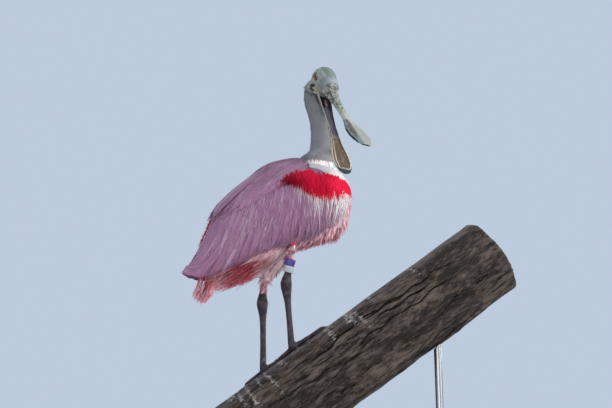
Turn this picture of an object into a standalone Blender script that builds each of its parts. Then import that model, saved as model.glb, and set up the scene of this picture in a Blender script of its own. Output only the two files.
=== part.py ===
"""Roseate spoonbill, life size, standing on a sloping cut of log held by a plain display stand.

Metres, +Z up. The origin is the centre of the stand's underside. The bird heads towards +X, turned a little
towards +Y, and its head is turned back towards -Y with the bill pointing down and open.
"""

import math
import random

import bmesh
import bpy
from mathutils import Matrix, Vector
from mathutils.bvhtree import BVHTree

MM = 0.001
GAP = 0.3 * MM

# Stand: a flat board and two upright rods
BOARD_LENGTH = 0.46
BOARD_WIDTH = 0.26
BOARD_THICKNESS = 0.022
BOARD_BEVEL = 0.004
ROD_RADIUS = 0.006
ROD_LOW_X = -0.12
ROD_HIGH_X = 0.17

# Log: a cut of weathered limb, its axis in the plane Y = 0
LOG_RADIUS = 0.065
LOG_LENGTH = 0.56
LOG_SLOPE = math.radians(36.3)
LOG_LOW_END = Vector((-0.1865, 0.0, 0.1862))
LOG_SIDES = 24
LOG_RINGS = 11
LOG_RELIEF = 0.0032

# Body: its own frame has X forward along the keel, Y to the bird's left and Z towards the back
BODY_ORIGIN = Vector((-0.0998, 0.0, 0.5868))
BODY_HEADING = math.radians(20.0)
BODY_PITCH = math.radians(32.0)
BODY_SIDES = 24

# Each station: (forward, up) of the back, (forward, up) of the belly, half width, in the body frame
TORSO_STATIONS = (
    ((-0.148, -0.016), (-0.127, -0.058), 0.012),
    ((-0.127, 0.002), (-0.104, -0.074), 0.022),
    ((-0.094, 0.026), (-0.076, -0.079), 0.034),
    ((-0.050, 0.048), (-0.040, -0.074), 0.048),
    ((-0.002, 0.067), (0.008, -0.070), 0.059),
    ((0.040, 0.070), (0.052, -0.078), 0.064),
    ((0.070, 0.066), (0.096, -0.082), 0.063),
    ((0.086, 0.062), (0.126, -0.060), 0.058),
    ((0.095, 0.060), (0.144, -0.028), 0.050),
    ((0.101, 0.062), (0.150, 0.004), 0.041),
    ((0.107, 0.068), (0.150, 0.030), 0.032),
)
# The neck above it, in the world frame: centre, radius, heading in degrees and lean forward in degrees
NECK_STATIONS = (
    ((-0.0105, 0.026, 0.7060), 0.0265, 14.0, 5.0),
    ((-0.0105, 0.022, 0.7240), 0.0234, 4.0, 2.0),
    ((-0.0112, 0.018, 0.7420), 0.0224, -8.0, 0.0),
    ((-0.0135, 0.014, 0.7610), 0.0222, -20.0, -3.0),
    ((-0.0185, 0.012, 0.7800), 0.0224, -34.0, -3.0),
    ((-0.0235, 0.010, 0.7970), 0.0224, -46.0, 12.0),
    ((-0.0235, 0.006, 0.8120), 0.0214, -54.0, 42.0),
    ((-0.0150, -0.004, 0.8200), 0.0185, -56.0, 75.0),
)
NECK_CUTS = (11, 14, 17)  # stations where torso, lower neck, upper neck and head part
RINGS_PER_STATION = 2

# Head: its frame has X along the bill, Y to the bird's left and Z towards the crown, and its origin lies
# between the jaw hinges
HEAD_ORIGIN = Vector((-0.0135, 0.0, 0.8166))
HEAD_HEADING = math.radians(-57.0)
HEAD_PITCH = math.radians(-49.5)
JAW_OPENING = math.radians(19.0)
HEAD_SIDES = 24
# Each station: distance along the head, crown height, throat height, half width, in mm
HEAD_STATIONS = (
    (-29.0, 16.0, 6.0, 5.0),
    (-26.0, 24.0, -1.0, 11.0),
    (-20.0, 31.0, -7.0, 15.5),
    (-10.0, 36.0, -11.0, 18.5),
    (0.0, 37.0, -12.0, 19.2),
    (10.0, 35.0, -9.0, 18.6),
    (20.0, 30.5, -2.0, 17.0),
    (28.0, 25.5, 4.5, 15.5),
)
# Each bill station: distance along, height of the edges, height of the outer face, half width, in mm,
# and how far the inner face is hollowed, as a share of the depth
UPPER_BILL_STATIONS = (
    (28.3, 4.6, 25.3, 15.4, 0.0),
    (34.0, 4.6, 21.8, 13.8, 0.1),
    (42.0, 4.4, 17.8, 12.2, 0.2),
    (54.0, 4.0, 14.2, 10.8, 0.3),
    (72.0, 3.4, 11.2, 9.6, 0.35),
    (92.0, 2.4, 8.8, 9.0, 0.35),
    (112.0, 1.6, 7.2, 9.8, 0.35),
    (128.0, 1.2, 6.4, 13.4, 0.4),
    (142.0, 1.0, 6.0, 18.6, 0.45),
    (156.0, 1.0, 5.8, 22.2, 0.45),
    (170.0, 0.8, 5.2, 23.0, 0.45),
    (182.0, 0.6, 4.4, 20.4, 0.4),
    (190.0, 0.2, 3.2, 14.6, 0.2),
    (194.5, -0.2, 2.0, 6.5, 0.0),
)
LOWER_BILL_STATIONS = (
    (4.0, 2.6, -10.0, 12.4, 0.0),
    (14.0, 3.2, -9.4, 13.6, 0.45),
    (28.0, 2.8, -8.0, 13.0, 0.55),
    (44.0, 1.8, -6.8, 11.2, 0.55),
    (64.0, 1.0, -5.6, 9.6, 0.5),
    (88.0, 0.4, -4.8, 8.6, 0.45),
    (108.0, 0.2, -4.6, 8.8, 0.45),
    (124.0, 0.2, -4.4, 11.0, 0.45),
    (138.0, 0.2, -4.4, 14.8, 0.5),
    (152.0, 0.2, -4.2, 17.8, 0.5),
    (166.0, 0.2, -4.0, 18.6, 0.5),
    (178.0, 0.0, -3.4, 16.6, 0.4),
    (186.0, -0.4, -2.8, 12.0, 0.2),
    (190.5, -0.8, -2.2, 5.2, 0.0),
)
BILL_SIDES = 9
BILL_RIM = 1.6
EYE_RADIUS = 5.6
EYE_PLACE = (-8.0, 15.0, 16.0)
LID_RADIUS = 5.4
LID_THICKNESS = 1.5
NOSTRIL_PLACE = (41.0, 5.4, 17.6)
EAR_PLACE = (-17.0, 18.4, 2.0)
EAR_RADII = (2.2, 2.0, 2.6)

# Envelope of the folded wings, as body stations from the wing tips to the neck
WING_STATIONS = (
    ((-0.182, -0.012), (-0.179, -0.022), 0.009),
    ((-0.160, -0.002), (-0.152, -0.048), 0.022),
    ((-0.128, 0.018), (-0.119, -0.058), 0.038),
    ((-0.090, 0.047), (-0.080, -0.060), 0.052),
    ((-0.050, 0.065), (-0.040, -0.064), 0.063),
    ((-0.010, 0.076), (0.000, -0.072), 0.070),
    ((0.032, 0.081), (0.042, -0.083), 0.073),
    ((0.064, 0.075), (0.086, -0.090), 0.072),
    ((0.086, 0.067), (0.122, -0.070), 0.066),
    ((0.097, 0.063), (0.147, -0.034), 0.056),
    ((0.104, 0.066), (0.154, 0.000), 0.046),
)
WING_SQUARE = 2.1
WING_THICKNESS = 0.007
WING_EDGE_THICKNESS = 0.0016
# Edges of the wing's core: (station, angle from the back's midline in degrees)
WING_UPPER_EDGE = ((3.6, 30.0), (4.6, 14.0), (6.4, 8.0), (8.0, 14.0), (9.0, 30.0))
WING_LOWER_EDGE = ((3.6, 70.0), (4.6, 80.0), (6.4, 92.0), (8.0, 96.0), (9.0, 84.0))
WING_CORE_SUNK = 2.2 * MM

# Rows of feathers on a wing, each from its front feather to its hindmost one
VANE_THICKNESS = 0.55 * MM
VANE_TILT = 0.85 * MM
VANE_SUNK = 4.4 * MM
VANE_BEND = 0.075
VANE_TAPER = 0.74
WING_ROWS = {
    "flight": {
        "count": 11,
        "roots": ((8.0, 70.0), (4.6, 36.0)),
        "tips": (
            (7.1, 117.0), (6.2, 126.0), (5.2, 129.0), (4.2, 131.0), (3.2, 132.0), (2.2, 133.0),
            (1.3, 131.0), (0.6, 120.0), (0.1, 95.0), (0.6, 66.0), (1.4, 44.0), (2.3, 28.0),
        ),
        "half": (11.0, 8.0),
        "sections": ((0.0, None), (0.1, 0.6), (0.4, 0.6), (0.72, 0.6), (1.0, 0.6)),
        "stack": 0.6,
    },
    "covert": {
        "count": 8,
        "roots": ((8.35, 60.0), (5.0, 30.0)),
        "tips": (
            (7.6, 98.0), (6.6, 106.0), (5.6, 107.0), (4.7, 105.0), (3.9, 100.0),
            (3.2, 88.0), (2.8, 70.0), (3.0, 52.0), (3.5, 36.0),
        ),
        "half": (12.0, 11.0),
        "sections": ((0.0, None), (0.2, 2.8), (0.6, 4.0), (1.0, 4.2)),
        "stack": 0.35,
    },
    "plume": {
        "count": 8,
        "roots": ((8.7, 46.0), (5.6, 26.0)),
        "tips": (
            (8.5, 86.0), (8.1, 89.0), (7.7, 85.0), (7.2, 82.0), (6.8, 79.0), (6.3, 75.0),
            (5.9, 69.0), (5.5, 61.0), (5.2, 52.0), (5.0, 43.0), (5.0, 35.0),
        ),
        "half": (7.0, 7.6),
        "sections": ((0.0, None), (0.28, 5.4), (0.65, 6.6), (1.0, 6.6)),
        "stack": 0.1,
    },
    "scapular": {
        "count": 3,
        "roots": ((8.1, 38.0), (7.7, 14.0)),
        "tips": ((4.4, 44.0), (3.5, 30.0), (2.9, 17.0)),
        "half": (8.0, 8.0),
        "sections": ((0.0, None), (0.15, 4.0), (0.45, 8.6), (0.75, 8.8), (1.0, 8.4)),
        "stack": 0.3,
    },
}
LEFT_WING_SHORTER = 0.25
VANE_SOLVER = "MANIFOLD"
WING_COLUMNS = 8
WING_CORE_ROWS = 5

# Legs in the world frame: (centre, radius) from inside the belly feathers to the end of the feathered
# thigh, then down the bare leg
THIGH_NEAR = (
    ((-0.0500, -0.0220, 0.5560), 0.0170),
    ((-0.0555, -0.0265, 0.5400), 0.0160),
    ((-0.0600, -0.0290, 0.5270), 0.0120),
    ((-0.0630, -0.0290, 0.5165), 0.0075),
)
THIGH_FAR = (
    ((-0.0820, 0.0300, 0.5380), 0.0210),
    ((-0.0900, 0.0300, 0.5190), 0.0190),
    ((-0.0990, 0.0300, 0.5010), 0.0140),
    ((-0.1085, 0.0300, 0.4830), 0.0078),
)
SHANK_NEAR = (
    ((-0.0630, -0.0290, 0.5165), 0.0062),
    ((-0.0660, -0.0260, 0.5000), 0.0056),
    ((-0.0690, -0.0228, 0.4820), 0.0058),
    ((-0.0716, -0.0200, 0.4660), 0.0098),
    ((-0.0708, -0.0190, 0.4520), 0.0082),
    ((-0.0690, -0.0170, 0.4350), 0.0057),
    ((-0.0660, -0.0135, 0.4020), 0.0050),
    ((-0.0632, -0.0100, 0.3690), 0.0058),
)
SHANK_FAR = (
    ((-0.1085, 0.0300, 0.4830), 0.0062),
    ((-0.1100, 0.0300, 0.4720), 0.0058),
    ((-0.1112, 0.0300, 0.4600), 0.0064),
    ((-0.1115, 0.0290, 0.4450), 0.0100),
    ((-0.1110, 0.0270, 0.4320), 0.0082),
    ((-0.1102, 0.0240, 0.4150), 0.0057),
    ((-0.1092, 0.0170, 0.3770), 0.0050),
    ((-0.1084, 0.0100, 0.3350), 0.0058),
)
SHANK_SUNK = 0.004
# Toes: (length, turn from straight up the log in degrees, radius at the root), in metres
TOES = ((0.050, -8.0, 0.0040), (0.068, 20.0, 0.0043), (0.058, 46.0, 0.0040), (0.028, 192.0, 0.0036))
CLAW_LENGTH = 0.008
PAD_RADIUS = 0.0085
TOE_STEP = 0.014

# Bands on the bare upper part of the near leg: (place along it, height, tilt in degrees)
BAND_INNER = 0.0076
BAND_WALL = 0.0013
BANDS = {"band_violet": (0.0185, 0.0105, 9.0), "band_grey": (0.0298, 0.0100, 9.0)}

TONGUE = ((34.0, 0.0, -0.9), (9.0, 3.0, 1.3))

TAIL_TURN = math.radians(41.0)
TAIL_LENGTH = 0.026
TAIL_HALF_WIDTHS = (0.0120, 0.0135, 0.0150, 0.0165)
TAIL_HALF_DEPTHS = (0.0150, 0.0110, 0.0075, 0.0045)
# Tail feathers: count, reach of the longest, half spread of the roots and of the tips, half width
TAIL_VANES = 10
TAIL_REACH = 0.060
TAIL_ROOT_SPREAD = 0.009
TAIL_TIP_SPREAD = 0.031
TAIL_VANE_HALF = 0.0062
TAIL_VANE_STEP = 0.00095


def frame(origin, heading, pitch):
    """Matrix of a local frame with X along the heading and pitch, Y level to the left."""
    return (
        Matrix.Translation(origin)
        @ Matrix.Rotation(heading, 4, "Z")
        @ Matrix.Rotation(-pitch, 4, "Y")
    )


BODY = frame(BODY_ORIGIN, BODY_HEADING, BODY_PITCH)
HEAD = frame(HEAD_ORIGIN, HEAD_HEADING, HEAD_PITCH)
JAW = HEAD @ Matrix.Rotation(JAW_OPENING, 4, "Y")


def catmull(values, at):
    """Smooth value at a fractional index of a list of vectors or numbers."""
    last = len(values) - 1
    at = min(max(at, 0.0), float(last))
    i = min(int(at), last - 1)
    t = at - i
    p0, p1, p2, p3 = (values[min(max(i + k, 0), last)] for k in (-1, 0, 1, 2))
    return (
        p1 * (1 - 2.5 * t * t + 1.5 * t**3)
        + p2 * (0.5 * t + 2 * t * t - 1.5 * t**3)
        + p0 * (-0.5 * t + t * t - 0.5 * t**3)
        + p3 * (-0.5 * t * t + 0.5 * t**3)
    )


def make_material(name, colour, roughness, metallic=0.0):
    material = bpy.data.materials.new(name)
    material.use_nodes = True
    shader = material.node_tree.nodes["Principled BSDF"]
    shader.inputs["Base Color"].default_value = (*colour, 1.0)
    shader.inputs["Roughness"].default_value = roughness
    shader.inputs["Metallic"].default_value = metallic
    return material


def link(name, mesh, material):
    obj = bpy.data.objects.new(name, mesh)
    bpy.context.scene.collection.objects.link(obj)
    mesh.materials.clear()
    mesh.materials.append(material)
    mesh.shade_smooth()
    mesh.set_sharp_from_angle(angle=math.radians(50))
    return obj


def mesh_of_rings(name, rings):
    """A closed mesh through rings of points, each cap a fan about its centre."""
    sides = len(rings[0])
    points = [p for ring in rings for p in ring]
    faces = []
    for r in range(len(rings) - 1):
        for k in range(sides):
            a, b = r * sides + k, r * sides + (k + 1) % sides
            faces.append((a, b, b + sides))
            faces.append((a, b + sides, a + sides))
    for ring, start, flip in ((rings[0], 0, True), (rings[-1], len(points) - sides, False)):
        centre = sum(ring, Vector()) / sides
        points.append(centre)
        for k in range(sides):
            a, b = start + k, start + (k + 1) % sides
            faces.append((b, a, len(points) - 1) if flip else (a, b, len(points) - 1))
    mesh = bpy.data.meshes.new(name)
    mesh.from_pydata(points, [], faces)
    return facing_out(mesh)


def facing_out(mesh):
    shape = bmesh.new()
    shape.from_mesh(mesh)
    bmesh.ops.triangulate(shape, faces=shape.faces)
    bmesh.ops.recalc_face_normals(shape, faces=shape.faces)
    if shape.calc_volume(signed=True) < 0:
        bmesh.ops.reverse_faces(shape, faces=shape.faces)
    shape.to_mesh(mesh)
    shape.free()
    return mesh


def oval(top, bottom, side, sides, square=2.0):
    """A ring through top and bottom, as wide as side on each flank. Above 2, square makes it boxier."""
    centre, half = (top + bottom) / 2, (top - bottom) / 2
    ring = []
    for k in range(sides):
        angle = 2 * math.pi * k / sides
        c, s = math.cos(angle), math.sin(angle)
        swell = (abs(c) ** square + abs(s) ** square) ** (-1 / square)
        ring.append(centre + half * c * swell + side * s * swell)
    return ring


def ring_normal(ring):
    third = len(ring) // 3
    return (ring[2 * third] - ring[0]).cross(ring[third] - ring[0]).normalized()


def body_stations(stations):
    """Each body station as (top, bottom, side) vectors in the world frame."""
    found = []
    for (top_x, top_z), (low_x, low_z), half_width in stations:
        found.append(
            (
                BODY @ Vector((top_x, 0, top_z)),
                BODY @ Vector((low_x, 0, low_z)),
                BODY.to_3x3() @ Vector((0, half_width, 0)),
            )
        )
    return found


def neck_stations():
    """Each neck station as (top, bottom, side) vectors, the top towards the nape."""
    found = []
    for centre, radius, heading, lean in NECK_STATIONS:
        h, lean = math.radians(heading), math.radians(lean)
        nape = Vector((-math.cos(h) * math.cos(lean), -math.sin(h) * math.cos(lean), math.sin(lean)))
        left = Vector((-math.sin(h), math.cos(h), 0.0))
        found.append((Vector(centre) + nape * radius, Vector(centre) - nape * radius, left * radius))
    return found


def flesh_rings(first, last):
    """Rings of the trunk and neck from one station to another, both included."""
    stations = body_stations(TORSO_STATIONS) + neck_stations()
    tops, bottoms, flanks = zip(*stations)
    rings = []
    for k in range((last - first) * RINGS_PER_STATION + 1):
        at = first + k / RINGS_PER_STATION
        rings.append(oval(catmull(tops, at), catmull(bottoms, at), catmull(flanks, at), BODY_SIDES, 2.05))
    return rings


def shifted(ring, distance):
    """The ring moved along its own normal, towards the head if the distance is positive."""
    normal = ring_normal(ring)
    return [p + normal * distance for p in ring]


def local_rings(matrix, stations, sides, square=2.0):
    """Rings of a head or bill piece from stations in mm."""
    rings = []
    for x, high, low, half in stations:
        top = Vector((x, 0, high)) * MM
        bottom = Vector((x, 0, low)) * MM
        side = Vector((0, half, 0)) * MM
        rings.append([matrix @ p for p in oval(top, bottom, side, sides, square)])
    return rings


def refined(stations, per_station):
    """More stations between those given, on a smooth curve."""
    vectors = [Vector(s).to_4d() if len(s) == 3 else Vector(s) for s in stations]
    steps = (len(stations) - 1) * per_station
    return [tuple(catmull(vectors, k / per_station)) for k in range(steps + 1)]


def boolean(obj, operation, meshes, solver="EXACT"):
    """Applies one Boolean with all the meshes to obj, then removes them."""
    tools = bpy.data.collections.new("tools")
    bpy.context.scene.collection.children.link(tools)
    for mesh in meshes:
        tool = bpy.data.objects.new("tool", mesh)
        tools.objects.link(tool)
    modifier = obj.modifiers.new("join", "BOOLEAN")
    modifier.operation = operation
    modifier.operand_type = "COLLECTION"
    modifier.collection = tools
    modifier.solver = solver
    bpy.context.view_layer.update()
    evaluated = obj.evaluated_get(bpy.context.evaluated_depsgraph_get())
    made = bpy.data.meshes.new_from_object(evaluated)
    obj.modifiers.clear()
    old = obj.data
    obj.data = made
    bpy.data.meshes.remove(old)
    for tool in list(tools.objects):
        bpy.data.objects.remove(tool)
    bpy.data.collections.remove(tools)
    keep_largest(obj.data)
    return obj


def keep_largest(mesh):
    """Drops every closed surface but the one with the largest volume."""
    shape = bmesh.new()
    shape.from_mesh(mesh)
    bmesh.ops.remove_doubles(shape, verts=shape.verts, dist=2e-6)
    bmesh.ops.dissolve_degenerate(shape, edges=shape.edges, dist=1e-6)
    bmesh.ops.triangulate(shape, faces=shape.faces)
    unseen = set(shape.faces)
    parts = []
    while unseen:
        front = [unseen.pop()]
        found = set(front)
        while front:
            face = front.pop()
            for edge in face.edges:
                if len(edge.link_faces) != 2:
                    continue
                for other in edge.link_faces:
                    if other in unseen:
                        unseen.discard(other)
                        found.add(other)
                        front.append(other)
        volume = sum(
            f.verts[0].co.dot(f.verts[1].co.cross(f.verts[2].co)) for f in found
        )
        parts.append((volume, found))
    largest = max(parts, key=lambda part: part[0])[1]
    bmesh.ops.delete(shape, geom=[f for f in shape.faces if f not in largest], context="FACES")
    shape.to_mesh(mesh)
    shape.free()


def inflated(mesh, distance):
    """A copy of the mesh grown by a distance along its normals."""
    grown = mesh.copy()
    shape = bmesh.new()
    shape.from_mesh(grown)
    bmesh.ops.recalc_face_normals(shape, faces=shape.faces)
    shape.normal_update()
    moves = [(v, v.normal * distance * v.calc_shell_factor()) for v in shape.verts]
    for vertex, move in moves:
        vertex.co += move
    shape.to_mesh(grown)
    shape.free()
    return grown


def ball(name, centre, radii, matrix=None, rings=8, sides=14):
    shape = bmesh.new()
    bmesh.ops.create_uvsphere(shape, u_segments=sides, v_segments=rings, radius=1.0)
    bmesh.ops.triangulate(shape, faces=shape.faces)
    place = (matrix or Matrix()) @ Matrix.Translation(centre) @ Matrix.Diagonal((*radii, 1.0))
    bmesh.ops.transform(shape, matrix=place, verts=shape.verts)
    mesh = bpy.data.meshes.new(name)
    shape.to_mesh(mesh)
    shape.free()
    return facing_out(mesh)


def tube_mesh(name, centres, radii, sides=10):
    """A round tube through the centres. Its ends are capped."""
    rings = []
    last = len(centres) - 1
    reference = Vector((0.0, 1.0, 0.0))
    for k, (centre, radius) in enumerate(zip(centres, radii)):
        along = (centres[min(k + 1, last)] - centres[max(k - 1, 0)]).normalized()
        across = along.cross(reference).normalized()
        third = along.cross(across).normalized()
        rings.append(
            [
                centre
                + across * radius * math.cos(2 * math.pi * j / sides)
                + third * radius * math.sin(2 * math.pi * j / sides)
                for j in range(sides)
            ]
        )
    return mesh_of_rings(name, rings)


def log_place(along, angle, radius):
    """World point on the log: distance up its axis, angle from the top towards -Y, distance off the axis."""
    axis = Vector((math.cos(LOG_SLOPE), 0.0, math.sin(LOG_SLOPE)))
    over = Vector((-math.sin(LOG_SLOPE), 0.0, math.cos(LOG_SLOPE)))
    out = over * math.cos(angle) - Vector((0.0, 1.0, 0.0)) * math.sin(angle)
    return LOG_LOW_END + axis * along + out * radius


def log_radius(along, angle):
    """Radius of the weathered limb, with long furrows that wander round it."""
    wander = 0.35 * math.sin(along * 9.0) + 0.2 * math.sin(along * 21.0 + 1.0)
    furrow = math.sin(5 * (angle + wander)) * 0.45 + math.sin(8 * angle - 3 * wander + 0.8) * 0.35
    swell = 0.35 * math.sin(along * 14.0 + angle)
    top = max(0.0, math.cos(angle)) ** 2  # smoother where it is worn by feet
    return LOG_RADIUS + LOG_RELIEF * (1 - 0.7 * top) * (furrow + swell) - LOG_RELIEF * 0.3


def build_log(material):
    rings = []
    for r in range(LOG_RINGS):
        along = LOG_LENGTH * r / (LOG_RINGS - 1)
        ring = []
        for k in range(LOG_SIDES):
            angle = 2 * math.pi * k / LOG_SIDES
            ring.append(log_place(along, angle, log_radius(along, angle)))
        rings.append(ring)
    return link("perch_log", mesh_of_rings("perch_log", rings), material)


def tree_of(obj):
    shape = bmesh.new()
    shape.from_mesh(obj.data)
    tree = BVHTree.FromBMesh(shape)
    shape.free()
    return tree


def build_stand(log, wood, steel):
    shape = bmesh.new()
    bmesh.ops.create_cube(shape, size=1.0)
    size = Matrix.Diagonal((BOARD_LENGTH, BOARD_WIDTH, BOARD_THICKNESS, 1.0))
    place = Matrix.Translation((0, 0, BOARD_THICKNESS / 2)) @ size
    bmesh.ops.transform(shape, matrix=place, verts=shape.verts)
    upright = [e for e in shape.edges if abs(e.verts[0].co.z - e.verts[1].co.z) > BOARD_THICKNESS / 2]
    bmesh.ops.bevel(shape, geom=upright, offset=0.02, segments=5, affect="EDGES")
    rim = [e for e in shape.edges if all(v.co.z > BOARD_THICKNESS - 1e-5 for v in e.verts)]
    bmesh.ops.bevel(shape, geom=rim, offset=BOARD_BEVEL, segments=2, affect="EDGES")
    mesh = bpy.data.meshes.new("stand_board")
    shape.to_mesh(mesh)
    shape.free()
    link("stand_board", facing_out(mesh), wood)
    for name, x in (("stand_rod_low", ROD_LOW_X), ("stand_rod_high", ROD_HIGH_X)):
        middle = LOG_LOW_END.z + (x - LOG_LOW_END.x) * math.tan(LOG_SLOPE)
        ends = (Vector((x, 0.0, BOARD_THICKNESS + GAP)), Vector((x, 0.0, middle)))
        rod = link(name, tube_mesh(name, ends, (ROD_RADIUS, ROD_RADIUS), 16), steel)
        boolean(rod, "DIFFERENCE", [inflated(log.data, GAP)])


def build_trunk(material, neck_material):
    """Trunk and two lengths of neck, parted by thin gaps. Returns the trunk and the upper neck."""
    first, second, third = NECK_CUTS
    torso = flesh_rings(0, first)
    lower = flesh_rings(first, second)
    upper = flesh_rings(second, third)
    lower[0] = shifted(lower[0], GAP)
    upper[0] = shifted(upper[0], GAP)
    trunk = link("torso", mesh_of_rings("torso", torso), material)
    link("neck_lower", mesh_of_rings("neck_lower", lower), neck_material)
    neck = link("neck_upper", mesh_of_rings("neck_upper", upper), neck_material)
    return trunk, neck


def build_head(neck, materials):
    """The head with its lids, eyes and ears. Returns the room that it needs, for what it meets."""
    last = len(TORSO_STATIONS) + len(NECK_STATIONS) - 1
    stub = flesh_rings(NECK_CUTS[2], last)
    stub[0] = shifted(stub[0], GAP)
    skull = local_rings(HEAD, refined(HEAD_STATIONS, 2), HEAD_SIDES)
    head = link("head", mesh_of_rings("head", skull), materials["skin"])
    room = inflated(head.data, GAP)
    joined = [mesh_of_rings("stub", stub)]
    stub_room = inflated(joined[0], GAP)
    boolean(neck, "DIFFERENCE", [room.copy()])
    for side in (-1, 1):
        joined.append(lid_ring(side))
    boolean(head, "UNION", joined)
    cutters = []
    for side in (-1, 1):
        x, y, z = EYE_PLACE
        eye = ball("eye", Vector((x, side * y, z)) * MM, [EYE_RADIUS * MM] * 3, HEAD)
        name = "eye_left" if side > 0 else "eye_right"
        link(name, eye, materials["eye"])
        socket = (EYE_RADIUS + 0.35) * MM
        cutters.append(ball("socket", Vector((x, side * y, z)) * MM, [socket] * 3, HEAD))
        x, y, z = EAR_PLACE
        ear_radii = [r * MM for r in EAR_RADII]
        cutters.append(ball("ear", Vector((x, side * y, z)) * MM, ear_radii, HEAD, 6, 8))
    boolean(head, "DIFFERENCE", cutters)
    return [room, stub_room]


def lid_ring(side):
    """Raised rim of the lids about one eye."""
    x, y, z = EYE_PLACE
    out = Vector((-0.05, side, 0.22)).normalized()
    centre = Vector((x, side * y, z)) + out * (EYE_RADIUS * 0.42)
    first = out.cross(Vector((1, 0, 0))).normalized()
    second = out.cross(first)
    points, faces = [], []
    around, section = 16, 6
    for k in range(around):
        angle = 2 * math.pi * k / around
        spoke = first * math.cos(angle) * 0.9 + second * math.sin(angle) * 1.15
        for j in range(section):
            turn = 2 * math.pi * j / section
            reach = LID_RADIUS + LID_THICKNESS * math.cos(turn)
            lift = LID_THICKNESS * 0.8 * math.sin(turn)
            points.append(HEAD @ ((centre + spoke * reach + out * lift) * MM))
            a = k * section + j
            b = k * section + (j + 1) % section
            c = ((k + 1) % around) * section + (j + 1) % section
            d = ((k + 1) % around) * section + j
            faces.append((a, b, c, d))
    mesh = bpy.data.meshes.new("lids")
    mesh.from_pydata(points, [], faces)
    return facing_out(mesh)


def bill_ring(matrix, station):
    """One cross section of a bill: domed outside, hollowed inside, with a rim along each edge."""
    x, edge, outer, half, hollow = station
    ring = []
    for k in range(BILL_SIDES):
        angle = math.pi * k / (BILL_SIDES - 1)
        ring.append(Vector((x, half * math.cos(angle), edge + (outer - edge) * math.sin(angle) ** 0.85)))
    for k in range(BILL_SIDES - 2):
        across = 1 - 2 * k / (BILL_SIDES - 3)
        depth = hollow * (1 - across**4) * (outer - edge)
        ring.append(Vector((x, -(half - min(BILL_RIM, half / 4)) * across, edge + depth)))
    return [matrix @ (p * MM) for p in ring]


def build_bills(neck, head_room, materials):
    upper_rings = [bill_ring(HEAD, s) for s in UPPER_BILL_STATIONS]
    upper = link("bill_upper", mesh_of_rings("bill_upper", upper_rings), materials["bill"])
    x, y, z = NOSTRIL_PLACE
    slots = [
        ball("slot", Vector((x, side * y, z)) * MM, (4.2 * MM, 1.3 * MM, 2.2 * MM), HEAD, 6, 8)
        for side in (-1, 1)
    ]
    boolean(upper, "DIFFERENCE", slots)
    lower_rings = [bill_ring(JAW, s) for s in LOWER_BILL_STATIONS]
    lower = link("bill_lower", mesh_of_rings("bill_lower", lower_rings), materials["bill"])
    lower_room = inflated(lower.data, GAP)
    boolean(lower, "DIFFERENCE", head_room)
    boolean(neck, "DIFFERENCE", [lower_room.copy()])
    place, radii = TONGUE
    tongue_mesh = ball("tongue", Vector(place) * MM, [r * MM for r in radii], JAW, 8, 12)
    tongue = link("tongue", tongue_mesh, materials["mouth"])
    boolean(tongue, "DIFFERENCE", [lower_room])


def edge_angle(edge, station):
    """Angle of a wing edge at a station, between the edge's own points."""
    for (s0, a0), (s1, a1) in zip(edge, edge[1:]):
        if station <= s1:
            t = max(0.0, (station - s0) / (s1 - s0))
            t = t * t * (3 - 2 * t)
            return a0 + (a1 - a0) * t
    return edge[-1][1]


def wing_point(side, station, angle_deg, depth=0.0):
    """World point of the wing envelope on one flank, sunk by a depth."""
    stations = body_stations(WING_STATIONS)
    tops, bottoms, flanks = zip(*stations)
    top, bottom, flank = (catmull(v, station) for v in (tops, bottoms, flanks))
    centre, half = (top + bottom) / 2, (top - bottom) / 2
    angle = math.radians(angle_deg)
    c, s = math.cos(angle), math.sin(angle)
    swell = (abs(c) ** WING_SQUARE + abs(s) ** WING_SQUARE) ** (-1 / WING_SQUARE)
    spoke = half * c * swell + flank * side * s * swell
    return centre + spoke * (1 - depth / max(spoke.length, 0.004))


def wing_core(side):
    """Closed shell of the folded arm and the feathers over it, hugging the trunk."""
    columns, rows = WING_COLUMNS, WING_CORE_ROWS
    first, last = WING_UPPER_EDGE[0][0], WING_UPPER_EDGE[-1][0]
    grids = []
    for inner in (False, True):
        grid = []
        for i in range(columns + 1):
            station = first + (last - first) * i / columns
            high, low = edge_angle(WING_UPPER_EDGE, station), edge_angle(WING_LOWER_EDGE, station)
            row = []
            for j in range(rows + 1):
                t = j / rows
                border = min(1.0, 5 * min(t, 1 - t), 4 * min(i, columns - i) / columns)
                depth = WING_EDGE_THICKNESS + (WING_THICKNESS - WING_EDGE_THICKNESS) * border
                sunk = WING_CORE_SUNK + (depth if inner else 0.0)
                row.append(wing_point(side, station, high + (low - high) * t, sunk))
            grid.append(row)
        grids.append(grid)
    points = [p for grid in grids for row in grid for p in row]
    half = len(points) // 2

    def index(i, j, inner):
        return i * (rows + 1) + j + (half if inner else 0)

    faces = []
    for i in range(columns):
        for j in range(rows):
            for inner in (False, True):
                a, b = index(i, j, inner), index(i, j + 1, inner)
                c, d = index(i + 1, j + 1, inner), index(i + 1, j, inner)
                faces.extend([(a, b, c), (a, c, d)])
    border = [(i, 0) for i in range(columns)] + [(columns, j) for j in range(rows)]
    border += [(i, rows) for i in range(columns, 0, -1)] + [(0, j) for j in range(rows, 0, -1)]
    for k, (i, j) in enumerate(border):
        m, n = border[(k + 1) % len(border)]
        faces.append((index(i, j, False), index(m, n, False), index(m, n, True), index(i, j, True)))
    mesh = bpy.data.meshes.new("core")
    mesh.from_pydata(points, [], faces)
    return facing_out(mesh)


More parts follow.
